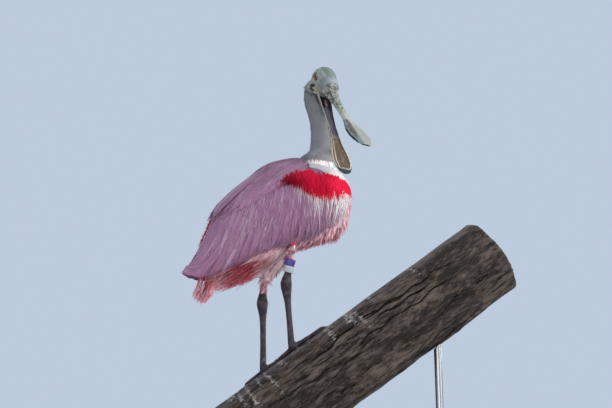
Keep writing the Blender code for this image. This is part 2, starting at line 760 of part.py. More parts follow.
def vane_mesh(name, centres, normals, half_widths, tilt, bend):
    """A feather along its centres: ridged along the shaft, tilted across, split alike on both faces."""
    points, faces = [], []
    last = len(centres) - 1
    for k, (centre, normal, half) in enumerate(zip(centres, normals, half_widths)):
        along = (centres[min(k + 1, last)] - centres[max(k - 1, 0)]).normalized()
        across = normal.cross(along).normalized()
        for face in (0.5, -0.5):
            for s in (-1, 0, 1):
                drop = half * half * s * s / (2 * bend)
                height = tilt * s - drop + VANE_THICKNESS * face
                points.append(centre + across * half * s + normal * height)
    for k in range(last):
        a = k * 6
        for j in (0, 1):
            top = (a + j, a + j + 1, a + j + 7, a + j + 6)
            low = tuple(v + 3 for v in top)
            faces.extend([(top[0], top[1], top[2]), (top[0], top[2], top[3])])
            faces.extend([(low[0], low[2], low[1]), (low[0], low[3], low[2])])
        faces.append((a, a + 6, a + 9, a + 3))
        faces.append((a + 2, a + 5, a + 11, a + 8))
    for a in (0, last * 6):
        faces.append((a, a + 1, a + 4, a + 3))
        faces.append((a + 1, a + 2, a + 5, a + 4))
    mesh = bpy.data.meshes.new(name)
    mesh.from_pydata(points, [], faces)
    return facing_out(mesh)


def along_list(values, share):
    """Point a share of the way along a list of pairs."""
    return catmull([Vector(v) for v in values], share * (len(values) - 1))


def wing_vanes(side):
    """All the vanes of one wing, row by row."""
    draw = random.Random(11 if side > 0 else 7)
    shorter = LEFT_WING_SHORTER if side > 0 else 0.0
    vanes = []
    for row in WING_ROWS.values():
        for k in range(row["count"]):
            share = k / (row["count"] - 1)
            root = Vector(row["roots"][0]).lerp(Vector(row["roots"][1]), share)
            tip = along_list(row["tips"], share)
            tip.x += shorter + draw.uniform(-0.06, 0.06)
            tip.y += draw.uniform(-0.8, 0.8)
            front, hind = row["half"]
            half = (front + (hind - front) * share) * MM * draw.uniform(0.95, 1.05)
            centres, normals, widths = [], [], []
            for t, lift in row["sections"]:
                place = root.lerp(tip, t)
                place.y += math.sin(math.pi * t) * 3.0 * (share - 0.35)
                stacked = row["stack"] * k * t
                rise = -VANE_SUNK if lift is None else (lift + stacked) * MM
                centre = wing_point(side, place.x, place.y, -rise)
                centres.append(centre)
                normals.append((centre - wing_point(side, place.x, place.y, 0.004)).normalized())
                body = 0.36 + 0.64 * min(1.0, t / 0.65)
                end = 1 - max(0.0, (t - 0.7) / 0.3) ** 2 * VANE_TAPER
                widths.append(half * body * end)
            vanes.append(vane_mesh("vane", centres, normals, widths, VANE_TILT * side, VANE_BEND))
    return vanes


def build_wing(side, trunk, materials):
    """One folded wing: its core and the rows of vanes that grow from it."""
    name = "wing_left" if side > 0 else "wing_right"
    wing = link(name, wing_core(side), materials["wing"])
    boolean(wing, "DIFFERENCE", [inflated(trunk.data, GAP)])
    boolean(wing, "UNION", wing_vanes(side), VANE_SOLVER)
    return wing


def leg_mesh(name, stations, sides, steps=2):
    """A round limb through (centre, radius) stations, on a smooth curve."""
    centres = [Vector(c) for c, _ in stations]
    radii = [r for _, r in stations]
    count = (len(stations) - 1) * steps
    places = [catmull(centres, k / steps) for k in range(count + 1)]
    widths = [catmull(radii, k / steps) for k in range(count + 1)]
    return tube_mesh(name, places, widths, sides)


def build_tail(trunk, materials):
    """The tail: a short wedge that leaves the rump and droops, with a fan of vanes."""
    draw = random.Random(3)
    root_top, root_low = (Vector((x, 0, z)) for x, z in TORSO_STATIONS[0][:2])
    middle = (root_top + root_low) / 2
    across = (root_top - root_low).normalized()
    out = Vector((-math.sin(TAIL_TURN), 0, -math.cos(TAIL_TURN)))
    over = Vector((-math.cos(TAIL_TURN), 0, math.sin(TAIL_TURN)))
    rings = []
    for k, (half, depth) in enumerate(zip(TAIL_HALF_WIDTHS, TAIL_HALF_DEPTHS)):
        share = k / (len(TAIL_HALF_WIDTHS) - 1)
        centre = middle + out * (TAIL_LENGTH * share + GAP)
        lean = across.lerp(over, share)
        top, low = centre + lean * depth, centre - lean * depth
        rings.append([BODY @ p for p in oval(top, low, Vector((0, half, 0)), 12, 2.2)])
    tail = link("tail", mesh_of_rings("tail", rings), materials["tail"])
    boolean(tail, "DIFFERENCE", [inflated(trunk.data, GAP)])
    vanes = []
    for k in range(TAIL_VANES):
        place = 2 * k / (TAIL_VANES - 1) - 1
        level = abs(k - (TAIL_VANES - 1) / 2) - (0.5 if k % 2 else 0.0)
        reach = TAIL_REACH * (1 - 0.10 * place * place) * draw.uniform(0.92, 1.04)
        centres, widths = [], []
        for t in (0.0, 0.3, 0.65, 0.88, 1.0):
            sideways = place * (TAIL_ROOT_SPREAD + (TAIL_TIP_SPREAD - TAIL_ROOT_SPREAD) * t**1.3)
            forward = TAIL_LENGTH * 0.45 + (reach - TAIL_LENGTH * 0.45) * t
            curl = over * (-TAIL_VANE_STEP * level + 0.004 * t * t + TAIL_VANE_STEP * 1.5)
            centres.append(BODY @ (middle + out * forward + Vector((0, sideways, 0)) + curl))
            widths.append(TAIL_VANE_HALF * min(1.0, 0.5 + t) * (1 - 0.55 * max(0.0, t - 0.75) / 0.25))
        normals = [(BODY.to_3x3() @ over).normalized()] * len(centres)
        vanes.append(vane_mesh("vane", centres, normals, widths, 0.0, 0.2))
    boolean(tail, "UNION", vanes, VANE_SOLVER)
    return tail


def build_band(name, place, height, tilt, material):
    """A loose ring round the bare leg."""
    top, low = Vector(SHANK_NEAR[0][0]), Vector(SHANK_NEAR[3][0])
    along = (low - top).normalized()
    centre = top + along * place
    axis = Matrix.Rotation(math.radians(tilt), 3, "Y") @ along
    first = axis.cross(Vector((0, 1, 0))).normalized()
    second = axis.cross(first)
    points, faces = [], []
    sides = 20
    outer = BAND_INNER + BAND_WALL
    section = ((BAND_INNER, -0.5), (outer, -0.5), (outer, 0.5), (BAND_INNER, 0.5))
    for k in range(sides):
        angle = 2 * math.pi * k / sides
        spoke = first * math.cos(angle) + second * math.sin(angle)
        for j, (radius, share) in enumerate(section):
            points.append(centre + spoke * radius + axis * height * share)
            following = (k + 1) % sides * len(section)
            turn = (j + 1) % len(section)
            faces.append((k * 4 + j, k * 4 + turn, following + turn, following + j))
    mesh = bpy.data.meshes.new(name)
    mesh.from_pydata(points, [], faces)
    link(name, facing_out(mesh), material)


def log_surface(tree, along, angle, height):
    """Point at a height over the log's surface."""
    outside = log_place(along, angle, 2 * LOG_RADIUS)
    axis_point = log_place(along, angle, 0.0)
    hit = tree.ray_cast(outside, (axis_point - outside).normalized())[0]
    return hit + (outside - axis_point).normalized() * height


def log_coordinates(point):
    """Distance up the log and angle round it of a world point."""
    axis = Vector((math.cos(LOG_SLOPE), 0.0, math.sin(LOG_SLOPE)))
    over = Vector((-math.sin(LOG_SLOPE), 0.0, math.cos(LOG_SLOPE)))
    offset = point - LOG_LOW_END
    return offset.dot(axis), math.atan2(-offset.y, offset.dot(over))


def build_foot(name, shank_end, log, material):
    """Toes laid over the log, with claws, joined under the end of the shank."""
    tree = tree_of(log)
    start, round_angle = log_coordinates(Vector(shank_end))
    pad = log_surface(tree, start, round_angle, PAD_RADIUS * 0.72)
    foot = link(name, ball(name, pad, [PAD_RADIUS] * 3, None, 8, 12), material)
    room = inflated(foot.data, GAP)
    pieces = []
    for length, turn, radius in TOES:
        turn = math.radians(turn)
        centres, radii = [pad], [radius]
        steps = max(3, round(length / TOE_STEP))
        for k in range(1, steps + 1):
            share = k / steps
            reach = PAD_RADIUS * 0.4 + length * share
            knuckle = 1 + 0.10 * math.cos(2 * math.pi * share * 3)
            size = radius * (1 - 0.35 * share) * knuckle
            along = start + reach * math.cos(turn)
            angle = round_angle - reach * math.sin(turn) / LOG_RADIUS
            centres.append(log_surface(tree, along, angle, size + GAP))
            radii.append(size)
        tip = centres[-1] + (centres[-1] - centres[-2]).normalized() * CLAW_LENGTH
        tip_along, tip_angle = log_coordinates(tip)
        centres.append(log_surface(tree, tip_along, tip_angle, 0.0011))
        radii.append(0.0006)
        pieces.append(tube_mesh("toe", centres, radii, 7))
    boolean(foot, "UNION", pieces)
    boolean(foot, "DIFFERENCE", [inflated(log.data, GAP)])
    return room


def build_legs(trunk, log, materials):
    for side, thigh, shank in (("right", THIGH_NEAR, SHANK_NEAR), ("left", THIGH_FAR, SHANK_FAR)):
        upper = link("thigh_" + side, leg_mesh("thigh", thigh, 14), materials["pink"])
        thigh_room = inflated(upper.data, GAP)
        boolean(upper, "DIFFERENCE", [inflated(trunk.data, GAP)])
        top, following = Vector(shank[0][0]), Vector(shank[1][0])
        sunk = ((top + (top - following).normalized() * SHANK_SUNK, shank[0][1]),) + shank[1:]
        lower = link("shank_" + side, leg_mesh("shank", sunk, 10), materials["leg"])
        foot_room = build_foot("foot_" + side, shank[-1][0], log, materials["leg"])
        boolean(lower, "DIFFERENCE", [thigh_room, foot_room])
    for name, (place, height, tilt) in BANDS.items():
        build_band(name, place, height, tilt, materials[name])


def clear_scene():
    for obj in list(bpy.data.objects):
        bpy.data.objects.remove(obj)


def main():
    clear_scene()
    materials = {
        "skin": make_material("bare skin", (0.42, 0.46, 0.40), 0.6),
        "neck": make_material("neck down", (0.62, 0.60, 0.62), 0.8),
        "pink": make_material("pink plumage", (0.80, 0.42, 0.50), 0.75),
        "wing": make_material("wing plumage", (0.78, 0.50, 0.60), 0.7),
        "tail": make_material("tail plumage", (0.75, 0.15, 0.16), 0.7),
        "bill": make_material("bill horn", (0.38, 0.42, 0.36), 0.5),
        "eye": make_material("eye", (0.45, 0.03, 0.02), 0.1),
        "mouth": make_material("mouth lining", (0.30, 0.08, 0.10), 0.4),
        "band_violet": make_material("violet band", (0.16, 0.08, 0.42), 0.4),
        "band_grey": make_material("grey band", (0.60, 0.62, 0.62), 0.4),
        "leg": make_material("leg scales", (0.13, 0.10, 0.12), 0.6),
        "log": make_material("weathered wood", (0.22, 0.18, 0.15), 0.9),
        "wood": make_material("dark board", (0.10, 0.06, 0.04), 0.45),
        "steel": make_material("rod steel", (0.55, 0.55, 0.57), 0.3, 1.0),
    }
    log = build_log(materials["log"])
    build_stand(log, materials["wood"], materials["steel"])
    trunk, neck = build_trunk(materials["pink"], materials["neck"])
    head_room = build_head(neck, materials)
    build_bills(neck, head_room, materials)
    for side in (-1, 1):
        build_wing(side, trunk, materials)
    build_tail(trunk, materials)
    build_legs(trunk, log, materials)


main()
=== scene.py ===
import math
import random

import bmesh
import bpy
import numpy as np
from mathutils import Matrix, Vector, noise
from mathutils.bvhtree import BVHTree


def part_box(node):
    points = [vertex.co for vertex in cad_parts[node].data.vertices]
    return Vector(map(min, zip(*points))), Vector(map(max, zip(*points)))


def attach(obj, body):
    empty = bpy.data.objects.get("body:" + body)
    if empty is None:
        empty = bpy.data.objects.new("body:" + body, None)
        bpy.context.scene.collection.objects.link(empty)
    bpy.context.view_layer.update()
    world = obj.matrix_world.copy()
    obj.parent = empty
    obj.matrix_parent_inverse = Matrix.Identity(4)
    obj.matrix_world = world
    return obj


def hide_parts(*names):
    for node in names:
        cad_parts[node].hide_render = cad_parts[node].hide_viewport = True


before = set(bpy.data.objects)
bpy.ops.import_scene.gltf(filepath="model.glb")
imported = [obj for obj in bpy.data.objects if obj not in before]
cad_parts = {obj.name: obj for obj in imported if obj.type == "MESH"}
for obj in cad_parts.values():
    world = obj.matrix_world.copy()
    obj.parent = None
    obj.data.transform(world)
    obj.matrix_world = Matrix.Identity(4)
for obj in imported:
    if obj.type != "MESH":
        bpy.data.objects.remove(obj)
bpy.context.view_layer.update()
mm = 0.001
body = "root"
sideName = {-1: "right", 1: "left"}

# Places and frames that the pieces share, in metres and degrees, as the solids have them
bird = {
    "bodyOrigin": (-0.0998, 0.0, 0.5868),
    "bodyHeading": 20.0,
    "bodyPitch": 32.0,
    "headOrigin": (-0.0135, 0.0, 0.8166),
    "headHeading": -57.0,
    "headPitch": -49.5,
    "jawOpening": 19.0,
}


def localFrame(origin, heading, pitch):
    turn = Matrix.Rotation(math.radians(heading), 4, "Z") @ Matrix.Rotation(-math.radians(pitch), 4, "Y")
    return Matrix.Translation(origin) @ turn


bodyFrame = localFrame(bird["bodyOrigin"], bird["bodyHeading"], bird["bodyPitch"])
headFrame = localFrame(bird["headOrigin"], bird["headHeading"], bird["headPitch"])
jawFrame = headFrame @ Matrix.Rotation(math.radians(bird["jawOpening"]), 4, "Y")


def blended(table, at):  # rows on a smooth curve through a table, at fractional places
    i = np.minimum(at.astype(int), len(table) - 2)
    t = (at - i)[:, None]
    a, b, c, d = (table[np.clip(i + k, 0, len(table) - 1)] for k in (-1, 0, 1, 2))
    return (b * (1 - 2.5 * t ** 2 + 1.5 * t ** 3) + c * (0.5 * t + 2 * t ** 2 - 1.5 * t ** 3)
            + a * (-0.5 * t + t ** 2 - 0.5 * t ** 3) + d * (-0.5 * t ** 2 + 0.5 * t ** 3))


def smooth(low, high, value):  # 0 below low, 1 above high
    t = np.clip((value - low) / (high - low), 0.0, 1.0)
    return t * t * (3 - 2 * t)


def localOf(matrix, points):  # world points in a local frame
    inverse = np.array(matrix.inverted())
    return points @ inverse[:3, :3].T + inverse[:3, 3]


def worldOf(matrix, points):
    m = np.array(matrix)
    return np.asarray(points, dtype=float) @ m[:3, :3].T + m[:3, 3]


def unit(vectors):
    length = np.linalg.norm(vectors, axis=-1, keepdims=True)
    return vectors / np.maximum(length, 1e-9)


def noiseAt(points, size, seed=0.0):  # smooth noise from -1 to 1 at many points
    shift = Vector((seed * 3.7, seed * 1.3, -seed * 2.1))
    return np.array([noise.noise(Vector(p) / size + shift) for p in points])


# Shader maths: a socket with operators
class Wire:
    def __init__(self, tree, socket, colour=False):
        self.tree, self.socket, self.colour = tree, socket, colour

    def node(self, kind, settings=None, inputs=None, out=0, colour=False):
        made = self.tree.nodes.new(kind)
        for key, value in (settings or {}).items():
            if key == "stops":
                ramp = made.color_ramp
                while len(ramp.elements) > 1:
                    ramp.elements.remove(ramp.elements[-1])
                for n, (at, shade) in enumerate(value):
                    stop = ramp.elements[0] if n == 0 else ramp.elements.new(at)
                    stop.position = at
                    stop.color = (*shade, 1.0)
            else:
                setattr(made, key, value)
        for key, value in (inputs or {}).items():
            target = made.inputs[key]
            if isinstance(value, Wire):
                self.tree.links.new(value.socket, target)
            else:
                target.default_value = (*value, 1.0) if target.type == "RGBA" and len(value) == 3 else value
        return Wire(self.tree, made.outputs[out], colour)

    def maths(self, operation, *values):
        return self.node("ShaderNodeMath", {"operation": operation}, dict(enumerate(values)))

    def vectorMaths(self, operation, other, key=1, colour=False):
        return self.node("ShaderNodeVectorMath", {"operation": operation}, {0: self, key: other}, 0, colour)

    def __add__(self, other):
        return self.vectorMaths("ADD", other, 1, True) if self.colour else self.maths("ADD", self, other)

    __radd__ = __add__

    def __sub__(self, other):
        return self.maths("SUBTRACT", self, other)

    def __rsub__(self, other):
        return self.maths("SUBTRACT", other, self)

    def __mul__(self, other):  # a colour is scaled by a number or a mask
        if self.colour and not isinstance(other, (int, float)):
            return other.mix((0.0, 0.0, 0.0), self)
        if self.colour:
            return self.vectorMaths("SCALE", other, "Scale", True)
        return self.maths("MULTIPLY", self, other)

    __rmul__ = __mul__

    def wave(self):
        return self.maths("SINE", self)

    def step(self, low, high):  # 0 below low, 1 above high
        settings = {"interpolation_type": "SMOOTHSTEP"}
        return self.node("ShaderNodeMapRange", settings, {0: self, 1: low, 2: high, 3: 0.0, 4: 1.0})

    def mix(self, first, second):  # from one colour to another by this mask
        return self.node("ShaderNodeMix", {"data_type": "RGBA"}, {0: self, 6: first, 7: second}, 2, True)

    def ramp(self, stops):
        return self.node("ShaderNodeValToRGB", {"stops": stops}, {0: self}, 0, True)

    def stretched(self, stretch):
        return self.vectorMaths("MULTIPLY", stretch) if stretch else self

    def noise(self, scale, detail=4.0, rough=0.55, stretch=None, twist=0.0):
        place = self.stretched(stretch)
        values = {"Vector": place, "Scale": scale, "Detail": detail, "Roughness": rough, "Distortion": twist}
        return self.node("ShaderNodeTexNoise", {}, values)

    def cells(self, scale, stretch=None, feature="F1"):
        place = self.stretched(stretch)
        return self.node("ShaderNodeTexVoronoi", {"feature": feature}, {"Vector": place, "Scale": scale})

    def bump(self, strength, depth):
        return self.node("ShaderNodeBump", {}, {"Height": self, "Strength": strength, "Distance": depth})


def attribute(start, name, out=2):  # a value written on the mesh, or a vector if out is 1
    return start.node("ShaderNodeAttribute", {"attribute_name": name}, {}, out)


def newMaterial(name, fixed):  # a material, its shader and a starting wire at the object's own place
    material = bpy.data.materials.new(name)
    material.use_nodes = True
    tree = material.node_tree
    shader = tree.nodes["Principled BSDF"]
    for key, value in fixed.items():
        shader.inputs[key].default_value = value
    place = tree.nodes.new("ShaderNodeTexCoord")
    return material, shader, Wire(tree, place.outputs["Object"])


def feed(wire, shader, socket):
    wire.tree.links.new(wire.socket, shader.inputs[socket])


def finishShader(shader, colour, height, strength, depth, rough=None):  # colour, bump and roughness
    feed(colour, shader, "Base Color")
    feed(height.bump(strength, depth), shader, "Normal")
    if rough:
        feed(rough, shader, "Roughness")


def addPiece(name, points, faces, material, replaced=(), sharp=None):
    mesh = bpy.data.meshes.new(name)
    points = np.asarray(points, dtype=np.float32)
    faces = np.asarray(faces, dtype=np.int32)
    mesh.vertices.add(len(points))
    mesh.vertices.foreach_set("co", points.ravel())
    sides = faces.shape[1]
    mesh.loops.add(faces.size)
    mesh.loops.foreach_set("vertex_index", faces.ravel())
    mesh.polygons.add(len(faces))
    mesh.polygons.foreach_set("loop_start", np.arange(0, faces.size, sides, dtype=np.int32))
    mesh.update(calc_edges=True)
    mesh.validate()
    piece = bpy.data.objects.new(name, mesh)
    bpy.context.scene.collection.objects.link(piece)
    finishPiece(piece, material, replaced, sharp)
    return piece


def finishPiece(piece, material, replaced=(), sharp=None):
    piece.data.materials.clear()
    piece.data.materials.append(material)
    piece.data.shade_smooth()
    if sharp:
        piece.data.set_sharp_from_angle(angle=math.radians(sharp))
    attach(piece, body)
    if replaced:
        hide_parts(*replaced)


def writeValues(mesh, name, values):
    values = np.asarray(values, dtype=np.float32)
    kind = "FLOAT" if values.ndim == 1 else "FLOAT_VECTOR"
    layer = mesh.attributes.new(name, kind, "POINT")
    layer.data.foreach_set("value" if values.ndim == 1 else "vector", values.ravel())


def writeMasks(mesh, masks):
    for name, values in masks.items():
        writeValues(mesh, name, values)


def vectorsOf(items, name):
    values = np.empty(len(items) * 3, dtype=np.float32)
    items.foreach_get(name, values)
    return values.reshape(-1, 3).astype(float)


def meshPoints(mesh):
    return vectorsOf(mesh.vertices, "co")


def meshNormals(mesh):
    return vectorsOf(mesh.vertex_normals, "vector")


def pushOut(mesh, distance):  # moves every point along its normal
    points = meshPoints(mesh) + meshNormals(mesh) * np.reshape(distance, (-1, 1))
    mesh.vertices.foreach_set("co", points.astype(np.float32).ravel())
    mesh.update()


def faceOut(mesh):  # fills open rims and turns every face outward
    shape = bmesh.new()
    shape.from_mesh(mesh)
    bmesh.ops.holes_fill(shape, edges=[e for e in shape.edges if e.is_boundary], sides=0)
    bmesh.ops.recalc_face_normals(shape, faces=shape.faces)
    shape.to_mesh(mesh)
    shape.free()


def ringFaces(rings, around, closed=False):  # quads between rings of points, round to the first if closed
    ring, k = np.meshgrid(np.arange(rings if closed else rings - 1), np.arange(around), indexing="ij")
    a, b = ring * around + k, ring * around + (k + 1) % around
    after = (b + around) % (rings * around), (a + around) % (rings * around)
    return np.stack([a, b, *after], -1).reshape(-1, 4)


def settle(piece):  # works the piece's modifiers into its mesh
    bpy.context.view_layer.update()
    made = bpy.data.meshes.new_from_object(piece.evaluated_get(bpy.context.evaluated_depsgraph_get()))
    piece.modifiers.clear()
    piece.data = made


def remeshed(name, meshes, voxel, passes, share=0.5):  # one closed surface over the meshes, relaxed
    shape = bmesh.new()
    for mesh in meshes:
        shape.from_mesh(mesh)
    whole = bpy.data.meshes.new(name)
    shape.to_mesh(whole)
    shape.free()
    piece = bpy.data.objects.new(name, whole)
    bpy.context.scene.collection.objects.link(piece)
    skinning = piece.modifiers.new("skin", "REMESH")
    skinning.mode = "VOXEL"
    skinning.voxel_size = voxel
    even = piece.modifiers.new("even", "SMOOTH")
    even.factor, even.iterations = share, passes
    settle(piece)
    bpy.data.meshes.remove(whole)
    return piece


def relaxed(piece, weights, passes):  # evens out part of a surface
    group = piece.vertex_groups.new(name="part")
    for n in np.nonzero(weights > 0.01)[0]:
        group.add([int(n)], float(weights[n]), "REPLACE")
    even = piece.modifiers.new("even", "SMOOTH")
    even.factor, even.iterations, even.vertex_group = 0.5, passes, "part"
    settle(piece)
    piece.vertex_groups.clear()


def nodeMesh(name):
    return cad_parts[name].data


def treeOf(mesh):
    shape = bmesh.new()
    shape.from_mesh(mesh)
    tree = BVHTree.FromBMesh(shape)
    shape.free()
    return tree


# Camera, light and floor
view = {"aim": (-0.04, 0.0, 0.606), "far": 1.8, "upward": 18.0, "lens": 63.53, "sensor": 36.0,
        "skyColour": (0.56, 0.66, 0.80, 1.0), "skySeen": 0.9, "skyLight": 0.42, "floor": 9.0,
        "floorDark": (0.58, 0.6, 0.63), "floorPale": (0.66, 0.67, 0.69)}
lamps = {  # place, size, watts, colour
    "sun side": ((1.15, -0.15, 1.75), 0.4, 17.0, (1.0, 0.97, 0.92)),
    "high soft": ((-0.3, 0.1, 2.3), 1.2, 5.0, (0.90, 0.95, 1.0)),
    "front soft": ((-1.1, -1.9, 1.2), 1.8, 7.5, (0.96, 0.97, 1.0)),
    "right soft": ((1.5, -0.9, 0.75), 1.0, 11.0, (1.0, 0.99, 0.97)),
    "low soft": ((-0.3, -1.6, 0.15), 1.2, 8.0, (1.0, 0.97, 0.96)),
    "rim": ((0.7, 1.5, 1.0), 0.8, 13.0, (1.0, 0.98, 0.95)),
}


def setStage():
    up = math.radians(view["upward"])
    aim = Vector(view["aim"])
    look = Vector((0.0, math.cos(up), math.sin(up)))
    camera = bpy.data.objects.new("camera", bpy.data.cameras.new("camera"))
    camera.data.lens, camera.data.sensor_width = view["lens"], view["sensor"]
    camera.location = aim - look * view["far"]
    camera.rotation_euler = look.to_track_quat("-Z", "Y").to_euler()
    bpy.context.scene.collection.objects.link(camera)
    bpy.context.scene.camera = camera
    bpy.context.scene.view_settings.view_transform = "Standard"
    for name, (place, size, watts, colour) in lamps.items():
        lamp = bpy.data.lights.new(name, "AREA")
        lamp.size, lamp.energy, lamp.color = size, watts, colour
        holder = bpy.data.objects.new(name, lamp)
        holder.location = place
        holder.rotation_euler = (aim - Vector(place)).to_track_quat("-Z", "Y").to_euler()
        bpy.context.scene.collection.objects.link(holder)
    world = bpy.data.worlds.new("sky")
    world.use_nodes = True
    backdrop = world.node_tree.nodes["Background"]
    backdrop.inputs["Color"].default_value = view["skyColour"]
    seen = Wire(world.node_tree, world.node_tree.nodes.new("ShaderNodeLightPath").outputs["Is Camera Ray"])
    feed(seen * (view["skySeen"] - view["skyLight"]) + view["skyLight"], backdrop, "Strength")
    bpy.context.scene.world = world
    material, shader, here = newMaterial("pale floor", {"Roughness": 0.7})
    cloud = here.noise(3.0, 3.0) * 0.04 + 0.5
    feed(cloud.mix(view["floorDark"], view["floorPale"]), shader, "Base Color")
    bpy.ops.mesh.primitive_plane_add(size=view["floor"], location=(0.0, 0.0, 0.0))
    floor = bpy.context.object
    floor.name = "floor"
    floor.data.materials.append(material)
    print("stage set")


setStage()

# The folded wing's sections, as the solids have them
wingSections = (  # back, belly and half width from the wing tips to the neck, in the body's frame
    ((-0.182, -0.012), (-0.179, -0.022), 0.009),
    ((-0.160, -0.002), (-0.152, -0.048), 0.022),
    ((-0.128, 0.018), (-0.119, -0.058), 0.038),
    ((-0.090, 0.047), (-0.080, -0.060), 0.052),
    ((-0.050, 0.065), (-0.040, -0.064), 0.063),
    ((-0.010, 0.076), (0.000, -0.072), 0.070),
    ((0.032, 0.081), (0.042, -0.083), 0.073),
    ((0.064, 0.075), (0.086, -0.090), 0.072),
    ((0.086, 0.067), (0.122, -0.070), 0.066),
    ((0.097, 0.063), (0.147, -0.034), 0.056),
    ((0.104, 0.066), (0.154, 0.000), 0.046),
)
flatter = (0.0, 2.0, 4.0, 5.5, 6.5, 7.0, 4.8, 3.4, 3.0, 3.0, 3.0)  # how much lower the feathers lie, in mm
wingTable = np.array([[*top, *low, half] for top, low, half in wingSections])
wingTable[:, 1] -= np.array(flatter) * mm
wingShape = {"square": 2.1, "beyond": 0.018}  # how boxy a section is, and a station's reach past the tips
slabSizes = {"columns": 40, "rows": 22, "depths": (0.0045, 0.0125), "from": 0.55, "span": 7.5}


def wingPlaces(side, stations, angles, lift=0.0):  # world points on the folded wing's envelope, raised
    stations = np.asarray(stations, dtype=float)
    row = blended(wingTable, np.clip(stations, 0.0, len(wingTable) - 1.0))
    none = 0 * row[:, 0]
    top = np.stack([row[:, 0], none, row[:, 1]], 1)
    low = np.stack([row[:, 2], none, row[:, 3]], 1)
    flank = np.stack([none, row[:, 4] * side, none], 1)
    angles = np.radians(np.asarray(angles, dtype=float))
    over, out = np.cos(angles), np.sin(angles)
    square = wingShape["square"]
    swell = (np.abs(over) ** square + np.abs(out) ** square) ** (-1 / square)
    spoke = (top - low) / 2 * (over * swell)[:, None] + flank * (out * swell)[:, None]
    length = np.maximum(np.linalg.norm(spoke, axis=1), 0.004)
    place = (top + low) / 2 + spoke * (1 + lift / length)[:, None]
    place[:, 0] += np.minimum(stations, 0.0) * wingShape["beyond"]
    return worldOf(bodyFrame, place)


def wingBase():  # the flesh of the folded wings, a slab under the feathers
    columns, rows = slabSizes["columns"], slabSizes["rows"]
    rim = [(i, 0) for i in range(columns)] + [(columns, j) for j in range(rows)]
    rim += [(i, rows) for i in range(columns, 0, -1)] + [(0, j) for j in range(rows, 0, -1)]
    points, faces = [], []
    for side in (-1, 1):
        grids = []
        for depth in slabSizes["depths"]:
            grids.append(np.arange((columns + 1) * (rows + 1)).reshape(columns + 1, -1) + len(points))
            for i in range(columns + 1):
                station = slabSizes["from"] + slabSizes["span"] * i / columns
                low = 60 + 46 * smooth(0.2, 2.5, station) - 22 * smooth(7.4, 9.0, station)
                high = 34 - 26 * smooth(0.4, 3.5, station) + 22 * smooth(7.8, 9.0, station)
                angles = [high + (low - high) * j / rows for j in range(rows + 1)]
                thin = depth * (0.45 + 0.55 * smooth(0.4, 2.6, station))
                points += list(wingPlaces(side, [station] * (rows + 1), angles, -thin))
        faces += [(g[i, j], g[i, j + 1], g[i + 1, j + 1], g[i + 1, j])
                  for i in range(columns) for j in range(rows) for g in grids]
        for a, b in zip(rim, rim[1:] + rim[:1]):
            faces.append((grids[0][a], grids[0][b], grids[1][b], grids[1][a]))
    mesh = bpy.data.meshes.new("wing base")
    mesh.from_pydata(points, [], faces)
    faceOut(mesh)
    return mesh


def swollen(mesh, distance):
    copy = mesh.copy()
    pushOut(copy, distance)
    return copy


def spot(points, centre, radius, soft=0.35):  # 1 inside a ball, 0 outside
    away = np.linalg.norm((points - np.array(centre)) / np.array(radius), axis=1)
    return 1 - smooth(1 - soft, 1 + soft, away)


def bareEdge(x):  # height of the bald skin's edge along the head, in mm
    return -5.0 - 4.0 * smooth(5.0, 18.0, x) + 7.0 * smooth(-14.0, -30.0, x)


def bareShare(points):  # 1 on the bald head
    head = localOf(headFrame, points) / mm
    ragged = noiseAt(points, 0.004, 2.0) * 1.6
    near = smooth(80.0, 60.0, np.linalg.norm(head, axis=1))
    return smooth(-1.2, 1.2, head[:, 2] - bareEdge(head[:, 0]) + ragged) * near


def whiteAndDarkShares(white, deep):  # the shares of the white and of the dark colour, as a tuft's zone; the dark share is a marking in some places and painted shade in others
    return np.stack([white, deep + 0 * white, 0 * white], 1)


def zones(points):  # markings and painted shade from a point's place on the trunk
    x, _, z = (localOf(bodyFrame, points) / mm).T
    white = np.maximum(spot(points, (-0.006, 0.0, 0.696), 0.050, 0.15),
                       0.3 * smooth(76.0, 120.0, x) * smooth(-20.0, 0.0, z))
    # Deeper rose toward the rear, the belly and the underside: partly the real crimson of the underparts, partly
    # painted shade under the wings.
    belly = smooth(-52.0, -66.0, z) * smooth(34.0, 8.0, x)
    deep = np.maximum(smooth(-60.0, -90.0, x) * smooth(-18.0, -40.0, z), 0.9 * belly)
    return whiteAndDarkShares(white, np.maximum(deep, 0.45 * smooth(-60.0, -78.0, z)))


def neckZone(points):
    x, _, z = points.T
    throat = smooth(0.735, 0.785, z - 0.3 * x)
    mottle = smooth(0.1, 0.5, noiseAt(points, 0.0042, 8.0) + 0.4 * noiseAt(points, 0.002, 9.0))
    # The dark share is painted shade: the throat under the head darker, broken up by mottling, and the neck's +x
    # side darker.
    return whiteAndDarkShares(0.9 * smooth(0.682, 0.668, z),
                 throat * (0.1 + 0.6 * mottle) + 0.35 * smooth(0.0, 0.02, x + 0.004))


plumageColours = {  # the feather's colour, its root, its dark colour and the strength of its sheen; the dark colour is a marking in some places and painted shade in others
    "neck": ((0.32, 0.32, 0.34), (0.25, 0.25, 0.265), (0.21, 0.18, 0.17), 0.1),
    "body": ((0.97, 0.60, 0.65), (0.70, 0.28, 0.36), (0.62, 0.04, 0.10), 0.12),
    # the wing's colours are painted shade: a darker, bluer lavender than the pale pink of its feathers, for the
    # shade the folded wing lies in
    "wing": ((0.41, 0.205, 0.345), (0.32, 0.14, 0.245), (0.34, 0.08, 0.16), 0.12),
    "tail": ((1.0, 0.36, 0.44), (0.80, 0.12, 0.19), (0.66, 0.02, 0.07), 0.0),
    "plume": ((1.0, 0.013, 0.08), (0.94, 0.007, 0.055), (0.20, 0.001, 0.012), 0.0),
}
whiteMark = (0.98, 0.95, 0.95)


